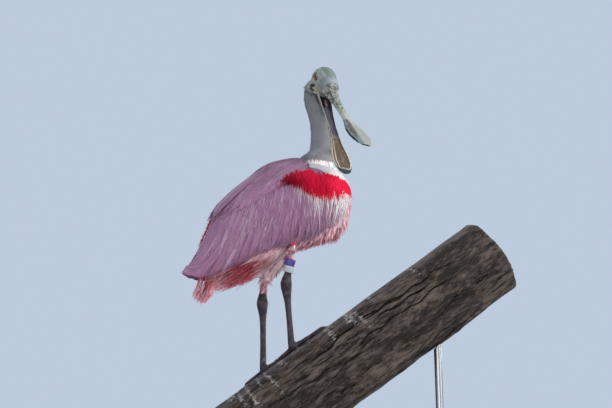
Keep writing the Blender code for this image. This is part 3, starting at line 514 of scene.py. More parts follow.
def makePlumage(kind):  # soft feather: barbs beside a shaft, markings and a shade for each tuft
    own, root, dark, sheen = plumageColours[kind]
    fixed = {"Sheen Weight": sheen, "Sheen Roughness": 0.45, "Specular IOR Level": 0.2, "Roughness": 0.78}
    material, shader, here = newMaterial(kind + " plumage", fixed)
    zone = here.node("ShaderNodeSeparateXYZ", {}, {0: attribute(here, "zone", 1)}).socket.node
    white, deep = (Wire(here.tree, zone.outputs[n]) for n in (0, 1))
    along, tint = attribute(here, "along"), attribute(here, "tint")
    lay = attribute(here, "lay", 1)  # across and along the feather, in millimetres
    base = along.step(0.0, 0.7).mix(root, own)
    base = white.mix(deep.mix(base, dark), whiteMark)
    streak = lay.noise(1.6, 3.0, 0.6, (1.0, 0.06, 1.0))
    patch = here.noise(48.0, 3.0)
    finishShader(shader, base * (tint * 0.20 + streak * 0.20 + patch * 0.30 + 0.65), streak, 0.3, 0.0005)
    return material


plumage = {kind: makePlumage(kind) for kind in ("neck", "body", "wing", "tail", "plume")}


# One skin for trunk, neck and folded arms, and one for the head that runs down inside the neck's feathers
fleshNodes = ("torso", "neck_lower", "neck_upper", "thigh_left", "thigh_right")
neckFrom = 0.684
skinSizes = {"voxel": 0.0019, "headVoxel": 0.0009, "trunkDepth": 0.0036, "neckDepth": 0.0024,
             "backDepth": 0.0045, "tuck": 0.010}


def buildBodySkin():
    first = remeshed("first", [swollen(nodeMesh(name), 0.0006) for name in fleshNodes], skinSizes["voxel"], 3)
    points, normals = meshPoints(first.data), meshNormals(first.data)
    _, y, z = localOf(bodyFrame, points).T
    neck = smooth(0.685, 0.71, points[:, 2])
    back = smooth(-0.01, 0.03, z) * (1 - neck) * smooth(0.3, 0.8, normals[:, 2])
    tuck = smooth(0.026, 0.038, np.abs(y)) * smooth(-0.084, -0.072, z) * (1 - neck)
    depth = skinSizes["trunkDepth"] * (1 - neck) + skinSizes["neckDepth"] * neck
    pushOut(first.data, -(depth + skinSizes["backDepth"] * back + skinSizes["tuck"] * tuck))
    skin = remeshed("skin_body", [first.data, wingBase()], skinSizes["voxel"], 4)
    bpy.data.objects.remove(first)
    height = meshPoints(skin.data)[:, 2]
    relaxed(skin, smooth(0.725, 0.745, height) * smooth(0.81, 0.79, height), 16)
    points = meshPoints(skin.data)
    neck = smooth(neckFrom - 0.002, neckFrom + 0.002, points[:, 2])
    writeMasks(skin.data, {"zone": zones(points) * (1 - neck)[:, None] + neckZone(points) * neck[:, None],
                           "along": 0.1 + 0.35 * neck, "tint": np.full(len(points), 0.4), "lay": points / mm})
    finishPiece(skin, plumage["body"], fleshNodes)
    skin.data.materials.append(plumage["neck"])
    for face in skin.data.polygons:
        face.material_index = int(face.center[2] > neckFrom)
    return skin


def buildHeadSkin():
    neck = swollen(nodeMesh("neck_upper"), -0.0045)
    skin = remeshed("skin_head", [swollen(nodeMesh("head"), 0.00015), neck], skinSizes["headVoxel"], 6, 0.45)
    points = meshPoints(skin.data)
    head = localOf(headFrame, points) / mm
    x, y, z = head.T
    eye = np.sqrt((x + 8) ** 2 + (z - 16) ** 2)
    folds = np.sin(eye * 1.9 + 1.3 * noiseAt(points, 0.012, 5.0))
    folds *= smooth(15.0, 9.0, eye) * smooth(5.6, 7.0, eye)
    jowl = np.sin(x * 0.9 + z * 1.5 + 2 * noiseAt(points, 0.010, 7.0)) * smooth(6.0, -4.0, z)
    grain = noiseAt(points, 0.0045, 1.0) * 0.35 + noiseAt(points, 0.0018, 3.0) * 0.2
    crease = np.exp(-(y / 4.0) ** 2) * smooth(-24.0, 0.0, x) * smooth(20.0, 28.0, z)
    across = (head - [-1.4, 0, 15.0]) * [0.16, 0, 0.24]
    across = across @ np.array([[0.94, 0, 0.34], [0, 0, 0], [-0.34, 0, 0.94]])
    away = np.linalg.norm(across, axis=1)
    socket = smooth(1.15, 0.75, away)
    lid = np.exp(-((away - 1.35) / 0.2) ** 2)
    rise = folds * 0.28 + jowl * 0.22 + grain * 0.5 - 0.25 * crease - 3.0 * socket + 0.35 * lid
    pushOut(skin.data, bareShare(points) * rise * mm)
    markHead(skin.data)
    finishPiece(skin, makeHeadSkin(), ("head",))
    return skin


bareColours = {
    "green": (0.27, 0.32, 0.29),
    "pale": (0.50, 0.54, 0.49),
    "crown": (0.13, 0.19, 0.17),
    "black": (0.03, 0.032, 0.035),
    "olive": (0.40, 0.39, 0.26),
    "orange": (0.36, 0.20, 0.11),
    # the mouth's dark lining, darkened further by painted shade in the gape
    "maw": (0.055, 0.016, 0.018),
    "blue": (0.24, 0.29, 0.32),
}


def makeHeadSkin():
    material, shader, here = newMaterial("bare head skin", {"Roughness": 0.5, "Specular IOR Level": 0.4})
    spread = here.noise(240.0, 4.0, 0.6)
    fine = here.noise(900.0, 3.0, 0.6)
    base = spread.step(0.35, 0.68).mix(bareColours["green"], bareColours["pale"])
    for name, share, broken in (("blue", 0.8, 1.2), ("crown", 0.9, 1.2),
                                ("olive", 0.85, 1.6), ("orange", 0.75, 2.6),
                                ("black", 1.0, 1.4), ("maw", 1.0, 0.5)):
        mask = (attribute(here, name) + (spread - 0.5) * broken).step(0.3, 0.75) * share
        base = mask.mix(base, bareColours[name])
    dots = here.cells(420.0).step(0.05, 0.5)
    base = attribute(here, "bare").mix(plumageColours["neck"][0], base)
    finishShader(shader, base * (fine * 0.35 + dots * 0.22 + 0.7), fine + dots * 1.4 + spread, 0.5, 0.0007,
                 spread * 0.3 + 0.33)
    return material


def markHead(mesh):
    points = meshPoints(mesh)
    x, y, z = (localOf(headFrame, points) / mm).T
    head = np.stack([x, np.abs(y), z], 1)
    band = np.exp(-((z - bareEdge(x) - 3.5) / 1.8) ** 2) * smooth(12.0, 4.0, x)
    band *= smooth(-0.2, 0.3, noiseAt(points, 0.005, 15.0))
    spots = (0.3 * band, spot(head, (3.5, 22.5, 1.5), (3.4, 8.0, 4.0)),
             spot(head, (7.5, 21.0, -4.5), (4.2, 8.0, 2.8)),
             0.3 * spot(head, (-1.4, 17.0, 15.0), (6.6, 12.0, 4.8), 0.2))
    writeMasks(mesh, {
        "bare": bareShare(points),
        "black": np.max(spots, axis=0),
        "crown": smooth(29.0, 34.0, z + 0.08 * np.abs(x)),
        "olive": spot(head, (6.0, 20.0, -1.0), (16.0, 12.0, 8.0)),
        "orange": np.maximum(0.42 * spot(head, (17.0, 15.5, 19.0), (9.0, 7.0, 5.0), 0.7),
                             0.7 * spot(head, (22.0, 15.0, 0.5), (8.0, 4.0, 3.0))),
        "blue": smooth(8.0, 20.0, x) * smooth(2.0, 10.0, z),
        # the mouth's corner: dark lining with painted shade of the gape
        "maw": smooth(20.0, 24.0, x) * smooth(13.4, 11.5, np.abs(y)) * smooth(4.6, 3.4, z),
    })


bodySkin, headSkin = buildBodySkin(), buildHeadSkin()
print("skins:", len(bodySkin.data.polygons), len(headSkin.data.polygons))

# Bill, mouth and eyes
billColours = {
    "horn": (0.34, 0.37, 0.33),
    "pale": (0.56, 0.57, 0.48),
    "mottle": (0.055, 0.065, 0.07),
    "blue": (0.075, 0.14, 0.20),
    "brown": (0.10, 0.054, 0.032),
    "cream": (0.74, 0.68, 0.50),
    "trough": (0.055, 0.048, 0.085),
    "dark": (0.022, 0.024, 0.03),
}
billSizes = {  # the remeshes' voxels, and each half's half widths at places along it, in mm
    "voxel": 0.0008,
    "tongueVoxel": 0.0005,
    "upper": ((28, 15.4), (54, 10.8), (92, 9.0), (128, 13.4), (156, 22.2), (170, 23.0), (190, 14.6)),
    "lower": ((4, 12.4), (28, 13.0), (64, 9.6), (88, 8.6), (124, 11.0), (152, 17.8), (166, 18.6), (186, 12.0)),
}


def billPlaces(piece, local, part):  # points, their places in the bill's frame, upward facing, half width
    points = meshPoints(piece.data)
    place = localOf(local, points)
    facing = localOf(local, points + meshNormals(piece.data)) - place
    half = np.interp(place[:, 0] / mm, *zip(*billSizes[part]))
    return points, (place / mm).T, facing[:, 2], half


def sculptUpper(piece):
    points, (x, y, z), facing, half = billPlaces(piece, headFrame, "upper")
    side = np.abs(y) / half
    groove = np.exp(-((side - 0.72) / 0.07) ** 2) * smooth(30.0, 44.0, x)
    rings = np.sin(x * 1.15 + 3.2 * noiseAt(points, 0.014, 2.0)) * smooth(86.0, 48.0, x)
    lumps = noiseAt(points, 0.006, 4.0) * smooth(140.0, 40.0, x)
    rise = smooth(0.0, 0.5, facing) * (rings * 0.28 + lumps * 0.45 - groove * 0.5)
    pushOut(piece.data, (rise + noiseAt(points, 0.0022, 6.0) * 0.08) * mm)
    place = np.stack([x, y, z], 1)
    writeMasks(piece.data, {
        "cream": smooth(0.84, 0.97, side) * smooth(0.2, -0.2, facing - 0.5) * smooth(150.0, 60.0, x) * 0.7
        # the term below, cream down the bill's +y side, is a painted highlight; the term above is the bill's pale
        # rims
        + smooth(0.62, 0.9, y / half) * 0.5 * smooth(36.0, 60.0, x),
        "blue": smooth(0.1, 0.7, -y / half) * smooth(108.0, 136.0, x) + 0.55 * smooth(100.0, 150.0, x),
        "brown": np.maximum(0.7 * spot(place, (158.0, -12.0, 4.0), (22.0, 7.0, 8.0), 0.6),
                            0.6 * spot(place, (132.0, -7.0, 4.0), (16.0, 4.0, 7.0), 0.6)),
        "mottle": smooth(150.0, 60.0, x) * (0.55 + 0.3 * groove + 0.25 * np.maximum(0, -rings)) + 0.2,
        "dark": smooth(0.72, 0.98, -y / half) * smooth(140.0, 160.0, x) + smooth(191.0, 195.0, x),
        "trough": smooth(-0.1, -0.5, facing),
    })


def sculptLower(piece):
    points, (x, y, _), facing, half = billPlaces(piece, jawFrame, "lower")
    side = np.abs(y) / half
    inside = smooth(0.1, 0.5, facing) * smooth(0.93, 0.84, side)
    keel = np.exp(-(y / 1.6) ** 2) * inside * smooth(60.0, 110.0, x)
    line = np.exp(-((y / half + 0.55) / 0.09) ** 2) * inside * smooth(60.0, 90.0, x)
    teeth = np.sin(x * 1.6) * np.exp(-((side - 0.74) / 0.06) ** 2) * inside * smooth(150.0, 110.0, x)
    rings = np.sin(x * 0.9 + 3 * noiseAt(points, 0.012, 3.0)) * (1 - inside) * smooth(90.0, 40.0, x)
    rise = keel * 0.45 + line * 0.7 + teeth * 0.25 + rings * 0.16 + noiseAt(points, 0.003, 6.0) * 0.12
    pushOut(piece.data, rise * mm)
    writeMasks(piece.data, {
        "cream": smooth(0.80, 0.92, side) * smooth(-0.35, 0.3, facing) * smooth(184.0, 172.0, x) + 0.8 * line,
        "blue": 0.3 + 0 * side,
        "brown": inside * smooth(92.0, 124.0, x) * smooth(184.0, 174.0, x) + 0.5 * smooth(0.2, -0.4, facing),
        "mottle": 0.35 * (1 - inside) + 0.15,
        "dark": smooth(176.0, 184.0, x) + 0.8 * smooth(0.95, 1.0, side) * smooth(110.0, 150.0, x)
        # inside, the near-black toward the jaw's base is painted shade deep in the gape
        + inside * (0.9 * smooth(56.0, 30.0, x) + 0.5 * smooth(0.15, 0.7, y / half) * smooth(165.0, 110.0, x)
                    + 0.45 * smooth(-0.6, -0.75, y / half)),
        "trough": inside * smooth(136.0, 96.0, x),
    })


def makeBill():
    material, shader, here = newMaterial("bill horn", {"Roughness": 0.6, "Specular IOR Level": 0.16})
    wide, fine = here.noise(170.0, 5.0, 0.62), here.noise(650.0, 4.0, 0.6)
    scratch = here.noise(220.0, 4.0, 0.6, (1.0, 1.0, 0.16))
    base = wide.step(0.3, 0.7).mix(billColours["horn"], billColours["pale"])
    for name, share, broken in (("blue", 0.75, 0.7), ("trough", 1.0, 0.6),
                                ("brown", 0.96, 1.9), ("cream", 0.9, 0.7)):
        mask = (attribute(here, name) + (fine - 0.5) * 0.8 + (wide - 0.5) * broken).step(0.25, 0.9) * share
        base = mask.mix(base, billColours[name])
    spots = (attribute(here, "mottle") * 0.26 + wide * 0.7 + fine * 0.4).step(0.70, 0.80) * 0.85
    base = spots.mix(base, billColours["mottle"])
    base = (attribute(here, "dark") + (fine - 0.5) * 0.4).step(0.4, 0.7).mix(base, billColours["dark"])
    finishShader(shader, base * (scratch * 0.5 + 0.72), scratch + fine * 0.7 - spots * 0.5, 0.45, 0.0006,
                 wide * 0.3 + 0.42)
    return material


billMaterial = makeBill()
for name, sculpt in (("bill_upper", sculptUpper), ("bill_lower", sculptLower)):
    bill = remeshed(name.replace("bill", "horn"), [nodeMesh(name)], billSizes["voxel"], 5)
    sculpt(bill)
    finishPiece(bill, billMaterial, (name,))
    print(bill.name, len(bill.data.polygons))


# both colours are darker than the lining's flesh: painted shade inside the gape
mouthLooks = {"deep": (0.09, 0.025, 0.03), "light": (0.20, 0.08, 0.09)}


def wetFlesh():
    fixed = {"Roughness": 0.3, "Coat Weight": 0.5, "Coat Roughness": 0.15}
    material, shader, here = newMaterial("mouth lining", fixed)
    wet = here.noise(300.0, 4.0)
    finishShader(shader, wet.mix(mouthLooks["deep"], mouthLooks["light"]), wet, 0.4, 0.0008)
    return material


tongue = remeshed("tongue_flesh", [nodeMesh("tongue")], billSizes["tongueVoxel"], 3)
finishPiece(tongue, wetFlesh(), ("tongue",))

eyeSizes = {  # place and radius in mm, pupil and iris as angles from the gaze
    "place": (-2.6, 15.0, 15.6), "radius": 5.3, "pupil": 0.36, "iris": 0.98, "gaze": (-0.05, 1.0, 0.22),
    "rings": 36, "around": 48,
}
eyeColours = {  # from the iris's inner to its outer shade, with the pupil and the rim
    "iris": ((0.3, (0.16, 0.006, 0.004)), (0.5, (0.34, 0.018, 0.008)), (0.75, (0.46, 0.06, 0.015))),
    "pupil": (0.004, 0.004, 0.004), "rim": (0.03, 0.012, 0.01),
}


def makeEye():
    fixed = {"Roughness": 0.08, "Coat Weight": 1.0, "Coat Roughness": 0.02}
    material, shader, here = newMaterial("eye", fixed)
    polar, turn = attribute(here, "polar"), attribute(here, "turn", 1)
    iris = turn.noise(7.0, 4.0, 0.7).ramp(eyeColours["iris"])
    shade = polar.step(eyeSizes["pupil"] - 0.03, eyeSizes["pupil"] + 0.03).mix(eyeColours["pupil"], iris)
    shade = polar.step(eyeSizes["iris"] - 0.12, eyeSizes["iris"]).mix(shade, eyeColours["rim"])
    feed(shade, shader, "Base Color")
    return material


def buildEye(side, material):
    gaze = unit(np.array(eyeSizes["gaze"]) * [1, side, 1])
    first = unit(np.cross(gaze, [1.0, 0.0, 0.0]))
    second = np.cross(gaze, first)
    rings, around = eyeSizes["rings"], eyeSizes["around"]
    polar = np.repeat(np.linspace(0.001, math.pi - 0.001, rings), around)
    turn = np.tile(np.arange(around) * 2 * math.pi / around, rings)
    spread = np.sin(polar)
    points = (gaze * np.cos(polar)[:, None] + first * (spread * np.cos(turn))[:, None]
              + second * (spread * np.sin(turn))[:, None])
    bulge = 1 + 0.05 * smooth(0.85, 0.2, polar)
    place = np.array(eyeSizes["place"]) * [1, side, 1]
    world = worldOf(headFrame, (points * (eyeSizes["radius"] * bulge)[:, None] + place) * mm)
    faces = ringFaces(rings, around)
    eye = addPiece("eyeball_" + sideName[side], world, faces, material, ("eye_" + sideName[side],))
    turned = np.stack([np.cos(turn) * 2, np.sin(turn) * 2, polar * 0.6], 1)
    writeMasks(eye.data, {"polar": polar, "turn": turned})


eyeMaterial = makeEye()
for side in sideName:
    buildEye(side, eyeMaterial)
print("eyes set")


# Feathers and tufts: thin closed vanes with a ridge along the shaft, many at a time
def vanes(paths, ups, halves, thick, bend):  # feathers by steps: points, upward lines and half widths
    count, steps = halves.shape
    along = np.empty_like(paths)
    along[:, 1:-1] = paths[:, 2:] - paths[:, :-2]
    along[:, 0], along[:, -1] = paths[:, 1] - paths[:, 0], paths[:, -1] - paths[:, -2]
    along = unit(along)
    across = unit(np.cross(ups, along))
    ups = unit(np.cross(along, across))
    halves = halves[:, :, None]
    drop = ups * halves ** 2 / (2 * bend)
    thick = ups * thick
    sections = np.stack([paths - across * halves - drop, paths + thick, paths + across * halves - drop,
                         paths - thick * 0.6 - drop * 0.35], 2)
    points = sections.reshape(count, steps * 4, 3)
    faces = []
    for k in range(steps - 1):
        a = k * 4
        for j in range(4):
            m = (j + 1) % 4
            faces.append((a + j, a + m, a + 4 + m))
            faces.append((a + j, a + 4 + m, a + 4 + j))
    faces += [(0, 2, 1), (0, 3, 2)]
    a = (steps - 1) * 4
    faces += [(a, a + 1, a + 2), (a, a + 2, a + 3)]
    faces = np.array(faces)[:, ::-1]
    whole = (faces[None] + (np.arange(count) * steps * 4)[:, None, None]).reshape(-1, 3)
    return points.reshape(-1, 3), whole


tuftShape = np.array([-1.0, 0.0, 1.0, 0.0])


def coatPiece(name, parts, material, replaced=()):  # joins runs of tufts and writes their values
    made = {key: [] for key in ("points", "faces", "zone", "along", "tint", "lay", "map")}
    start = 0
    for part in parts:
        points, faces = vanes(*(part[key] for key in ("paths", "ups", "halves", "thick", "bend")))
        made["points"].append(points)
        made["faces"].append(faces + start)
        start += len(points)
        count, steps = part["halves"].shape
        each = steps * 4
        share = np.tile(np.repeat(np.linspace(0, 1, steps), 4), count)
        side = np.tile(tuftShape, count * steps)
        across = side * np.repeat(part["halves"].ravel(), 4) / mm
        shift = np.random.default_rng(len(points)).uniform(0, 900, count)
        length = np.linalg.norm(part["paths"][:, -1] - part["paths"][:, 0], axis=1)
        made["zone"].append(np.repeat(part["zone"], each, axis=0))
        made["along"].append(share * 0.8 + 0.2 if part.get("whole") else share)
        made["tint"].append(np.repeat(part["tint"], each))
        made["lay"].append(np.stack([across + np.repeat(shift, each), share * np.repeat(length, each) / mm,
                                     0 * share], 1))
        patch = np.stack([side * 0.0015, (share - 0.5) * 0.003], 1)
        made["map"].append(np.repeat(part["map"], each, axis=0) + patch)
    made = {key: np.concatenate(values) for key, values in made.items()}
    piece = addPiece(name, made["points"], made["faces"], material, replaced, 50)
    mesh = piece.data
    writeMasks(mesh, {key: made[key] for key in ("zone", "along", "tint", "lay")})
    corners = np.empty(len(mesh.loops), dtype=np.int32)
    mesh.loops.foreach_get("vertex_index", corners)
    unwrap = mesh.uv_layers.new(name="OFBake")
    unwrap.data.foreach_set("uv", made["map"][corners].astype(np.float32).ravel())
    print(name, sum(len(part["halves"]) for part in parts), "feathers,", len(mesh.polygons), "triangles")


def trunkMap(points):  # an unwrap of the skin round the bird's own axis, from the tail to the crown
    x, y, z = points.T
    along, across, over = localOf(bodyFrame, points).T
    neck = smooth(0.685, 0.70, z)
    v = 0.03 + 0.68 * (along + 0.2) / 0.45 * (1 - neck) + neck * (0.70 + 0.25 * (z - 0.66) / 0.22)
    turn = np.arctan2(across, over) * (1 - neck) + np.arctan2(y, -x + 0.02) * neck
    return np.stack([0.03 + 0.94 * (turn / (2 * math.pi) + 0.5), np.clip(v, 0.01, 0.99)], 1)


def outline(kind, steps):  # share of the half width along a feather
    t = np.linspace(0, 1, steps)
    if kind == "vane":
        return (0.34 + 0.66 * smooth(0.0, 0.55, t)) * np.sqrt(np.maximum(0.012, 1 - smooth(0.72, 1.02, t)))
    if kind == "lock":
        return 0.5 + 0.5 * smooth(0.0, 0.3, t) - 0.93 * smooth(0.45, 1.0, t)
    return 1.0 - 0.9 * smooth(0.25, 1.0, t)


def freeTufts(roots, normals, lay, length, half, steps, lift, curl, hang, thick=0.00025, bend=0.01, kind="lock",
              seed=1, wild=6.0):  # tufts that rise from their roots, bend back and hang a little
    draw = np.random.default_rng(seed)
    count = len(roots)
    flat = unit(lay - normals * np.sum(lay * normals, axis=1, keepdims=True))
    twist = np.radians(draw.normal(0, wild, count))[:, None]
    flat = unit(flat * np.cos(twist) + np.cross(normals, flat) * np.sin(twist))
    length = np.broadcast_to(length, count) * draw.uniform(0.8, 1.15, count)
    rise = np.radians(lift + draw.normal(0, 4, count))
    paths, ups = [roots - normals * 0.0006], [normals]
    for k in range(1, steps):
        t = k / (steps - 1)
        angle = (rise - math.radians(curl) * t)[:, None]
        heading = flat * np.cos(angle) + normals * np.sin(angle) + np.array([0.0, 0.0, -hang * t])
        paths.append(paths[-1] + unit(heading) * (length / (steps - 1))[:, None])
        ups.append(normals)
    halves = np.outer(np.broadcast_to(half, count) * draw.uniform(0.8, 1.2, count), outline(kind, steps))
    return {"paths": np.stack(paths, 1), "ups": np.stack(ups, 1),
            "halves": halves, "thick": thick, "bend": bend,
            "zone": zones(roots), "tint": draw.uniform(0, 1, count), "map": trunkMap(roots)}


def sampled(mesh, spacing, seed):  # points spread over a mesh, about one for each square of the spacing
    draw = random.Random(seed)
    points, normals = [], []
    for face in mesh.polygons:
        wanted = face.area / spacing ** 2
        while draw.random() < wanted:
            corners = [mesh.vertices[v].co for v in face.vertices]
            a, b = draw.random(), draw.random()
            points.append(corners[0].lerp(corners[1], a).lerp(corners[-1].lerp(corners[-2], a), b))
            normals.append(face.normal.copy())
            wanted -= 1
    return np.array(points), np.array(normals)


coatSizes = {"neckSpacing": 0.0024, "neckLength": 0.0085, "neckHalf": 0.00095, "neckFrom": 0.674,
             "bodySpacing": 0.0034, "bodyLength": 0.023, "bodyHalf": 0.0019, "bodyTo": 0.688,
             "legSpacing": 0.0030, "legHalf": 0.0014, "shankSpacing": 0.0021, "shankHalf": 0.0009}
thighSizes = {  # reach, length and lean of the tufts
    "thigh_left": (0.026, 0.026, -0.45),
    "thigh_right": (0.022, 0.018, -0.25),
}
shankSizes = {"shank_left": (0.462, 0.013), "shank_right": (0.504, 0.009)}  # height of the lowest root, length
thighTop = 0.529  # height of the highest root
skinTree = treeOf(bodySkin.data)
slabTree = treeOf(wingBase())


def openPlaces(points, normals):  # leaves out places under the folded wings
    keep = []
    for n, (place, out) in enumerate(zip(map(Vector, points), map(Vector, normals))):
        if slabTree.find_nearest(place, 0.0016)[0] is not None:
            continue
        if skinTree.ray_cast(place + out * 0.002, out, 0.03)[0] is None:
            keep.append(n)
    return points[keep], normals[keep]


def outside(points, tree, depth):  # which points lie more than a depth outside a closed surface
    keep = []
    for p in points:
        near, out = tree.find_nearest(Vector(p))[:2]
        keep.append((Vector(p) - near).dot(out) > depth)
    return np.array(keep)


def buildBodyCoat():
    points, normals = sampled(bodySkin.data, coatSizes["bodySpacing"], 5)
    low = points[:, 2] < coatSizes["bodyTo"]
    points, normals = openPlaces(points[low], normals[low])
    for side in ("left", "right"):
        bare = outside(points, treeOf(nodeMesh("wing_" + side)), 0.001)
        points, normals = points[bare], normals[bare]
    place = localOf(bodyFrame, points)
    x, y, z = place.T
    bare = ~((np.abs(y) > 0.030) & (z > -0.078) & (x < 0.055) & (x > -0.12))  # not covered by the wings
    points, normals, place = points[bare], normals[bare], place[bare]
    x, y, z = place.T
    ahead = np.array(bodyFrame.to_3x3().col[0])
    front = smooth(0.03, 0.10, x)
    lay = -ahead * (1.0 - 0.75 * front)[:, None] + np.array([0, 0, -1.0]) * (0.3 + 0.9 * front)[:, None]
    lay += np.random.default_rng(4).normal(0, 0.12, lay.shape)
    height = points[:, 2]
    thigh = smooth(0.545, 0.525, height) * smooth(-0.11, -0.09, x + 0.02)
    length = coatSizes["bodyLength"] * (1 - 0.35 * smooth(0.655, 0.70, height))
    length *= 1 - 0.25 * thigh
    lift = 16 + 6 * smooth(-0.045, -0.06, z)
    made = freeTufts(points, normals, lay, length, coatSizes["bodyHalf"] * (1 - 0.2 * front), 4, lift, 14, 0.3,
                     seed=2, wild=9.0)
    fluff = spot(points, (-0.086, -0.005, 0.503), (0.034, 0.034, 0.030))
    pale = smooth(0.15, 0.5, noiseAt(place, 0.012, 11.0) + 0.5 * noiseAt(points, 0.004, 12.0) + 0.5 * thigh
                  + 0.6 * fluff)
    white, deep, _ = made["zone"].T
    made["zone"] = whiteAndDarkShares(np.maximum(white, 0.65 * pale * deep), deep * (1 - 0.7 * pale))
    coatPiece("coat_body", [made], plumage["body"])


def patched(tufts, place, size, seed, span, white, deep):  # pale tufts among dark ones
    pale = smooth(*span, noiseAt(place, size, seed))
    tufts["zone"] = whiteAndDarkShares(white * pale, deep * (1 - pale))
    return tufts


def buildThighs():  # long soft tufts down the thighs and behind them, and short ones on the shanks
    draw = np.random.default_rng(14)
    points, normals = sampled(bodySkin.data, coatSizes["legSpacing"], 15)
    parts = []
    for name, (reach, long, lean) in thighSizes.items():
        corners = meshPoints(nodeMesh(name))
        low = corners[corners[:, 2] < corners[:, 2].min() + 0.008].mean(axis=0)
        near = (np.linalg.norm((points - low) * [1, 1, 0.8], axis=1) < reach) & (points[:, 2] < thighTop)
        place, out = points[near], normals[near]
        lay = np.tile([lean, 0.0, -1.0], (len(place), 1)) + draw.normal(0, 0.15, (len(place), 3))
        length = draw.uniform(0.6, 1.0, len(place)) * long
        tufts = freeTufts(place, out, lay, length, coatSizes["legHalf"], 5, 10, 12, 0.3, seed=16)
        parts.append(patched(tufts, place, 0.008, 17.0, (-0.2, 0.3), 0.75, 0.45))
    for name, (low, long) in shankSizes.items():
        place, out = sampled(nodeMesh(name), coatSizes["shankSpacing"], 18)
        place, out = place[place[:, 2] > low], out[place[:, 2] > low]
        lay = np.tile([-0.12, 0.0, -1.0], (len(place), 1)) + draw.normal(0, 0.1, (len(place), 3))
        length = draw.uniform(0.6, 1.0, len(place)) * long
        tufts = freeTufts(place, out, lay, length, coatSizes["shankHalf"], 4, 8, 10, 0.2, seed=19)
        parts.append(patched(tufts, place, 0.006, 20.0, (-0.3, 0.3), 0.55, 0.5))
    coatPiece("thigh_tufts", parts, plumage["body"])


def buildNeckCoat():
    points, normals = sampled(bodySkin.data, coatSizes["neckSpacing"], 6)
    high = points[:, 2] > coatSizes["neckFrom"]
    points, normals = points[high], normals[high]
    bare = outside(points, treeOf(headSkin.data), -0.0004)
    more, moreNormals = sampled(headSkin.data, coatSizes["neckSpacing"] * 0.9, 7)
    x, _, z = (localOf(headFrame, more) / mm).T
    feathered = (bareShare(more) < 0.35) & ~((x > 19) & (z > -9.5)) & outside(more, skinTree, 0.0004)
    points = np.concatenate([points[bare], more[feathered]])
    normals = np.concatenate([normals[bare], moreNormals[feathered]])
    lay = np.array([0.0, 0.0, -1.0]) + np.random.default_rng(5).normal(0, 0.1, points.shape)
    height = points[:, 2]
    length = coatSizes["neckLength"] * (0.5 + 0.5 * smooth(0.84, 0.79, height))
    length *= 1 + 0.4 * smooth(0.715, 0.69, height)
    lift = 11 - 6 * smooth(0.72, 0.70, height)
    made = freeTufts(points, normals, lay, length, coatSizes["neckHalf"], 4, lift, 14, 0.1, 0.0002, seed=3,
                     wild=7.0)
    made["zone"] = neckZone(points)
    coatPiece("coat_neck", [made], plumage["neck"])


buildThighs()
buildNeckCoat()
buildBodyCoat()

# Folded wings: streamlines run from the shoulder to the wing's edge, and every row of feathers follows them
wingLines = {
    "front": (7.5, 64.0),
    "hind": (4.6, 6.0),
    "tips": ((7.6, 128.0), (7.0, 138.0), (6.2, 149.0), (5.5, 156.0), (4.8, 154.0), (4.2, 152.0), (3.6, 146.0),
             (3.1, 142.0), (2.7, 146.0), (2.1, 150.0), (1.4, 150.0), (0.7, 144.0), (0.0, 128.0), (-0.25, 98.0),
             (0.3, 62.0), (1.3, 24.0), (2.3, 8.0)),
    "leftShorter": 0.25,
    "flare": 0.003,
}
capeLines = {
    "roots": ((7.5, 52.0), (7.9, 38.0), (8.2, 21.0), (8.4, 4.0)),
    "tips": ((5.3, 66.0), (4.4, 64.0), (3.6, 62.0), (3.15, 42.0), (2.6, 22.0), (2.95, 9.0), (3.3, 2.0)),
}


def listAt(values, share):  # points on a smooth line through a list of pairs, at many shares
    table = np.array(values, dtype=float)
    return blended(table, np.clip(share, 0, 1) * (len(table) - 1))


def streamPlace(lines, side, f, t, lift):  # f from the front line to the hindmost, t from root to edge
    if "roots" in lines:
        root = listAt(lines["roots"], f)
    else:
        root = np.array(lines["front"]) + (np.array(lines["hind"]) - np.array(lines["front"])) * f[:, None]
    tip = listAt(lines["tips"], f)
    place = root + (tip - root) * t[:, None]
    place[:, 1] += np.sin(np.pi * np.clip(t, 0, 1)) * 3.0 * (f - 0.35)
    if side > 0:
        place[:, 0] += wingLines["leftShorter"] * t
    flare = smooth(0.7, 1.0, t) * smooth(0.35, 0.5, f) * smooth(0.9, 0.75, f)
    flare += smooth(0.6, 0.95, t) * smooth(0.08, 0.2, f) * smooth(0.5, 0.38, f)
    return wingPlaces(side, place[:, 0], place[:, 1], lift + wingLines["flare"] * flare * ("front" in lines))


def streamFeathers(lines, side, f, start, length, half, lift, steps, kind, seed, thick=0.0003, bend=0.06,
                   sink=0.0025, rise=0.0):  # feathers along the streamlines, their roots sunk under the row above
    draw = np.random.default_rng(seed + (50 if side > 0 else 0))
    count = len(f)
    start, length, half, lift = (np.broadcast_to(value, count) for value in (start, length, half, lift))
    t = start[:, None] + length[:, None] * np.linspace(0, 1, steps)[None]
    u = np.tile(np.linspace(0, 1, steps), (count, 1))
    sway = draw.normal(0, 0.006, count)[:, None] * u
    lifts = lift[:, None] - sink * (1 - smooth(0.0, 0.25, u)) + draw.normal(0, 0.00012, count)[:, None]
    lifts += rise * u ** 2 if rise else -0.0004 * smooth(0.7, 1.0, u)
    swayed = np.clip(f[:, None] + sway, 0, 1).ravel()
    paths, above = (streamPlace(lines, side, swayed, t.ravel(), lifts.ravel() + more).reshape(count, steps, 3)
                    for more in (0.0, 0.004))  # the second, a little higher, gives the upward line
    halves = np.outer(half * draw.uniform(0.92, 1.08, count), outline(kind, steps))
    zone = whiteAndDarkShares(0.2 * smooth(0.5, 1.0, draw.random(count)), 0.12 * draw.random(count) ** 2)
    middle = np.clip(start + length * 0.3, 0, 1)
    return {"paths": paths, "ups": unit(above - paths), "halves": halves,
            "thick": thick, "bend": bend, "zone": zone,
            "tint": draw.uniform(0, 1, count), "map": np.stack([0.03 + 0.94 * f, 0.03 + 0.9 * middle], 1),
            "whole": True}


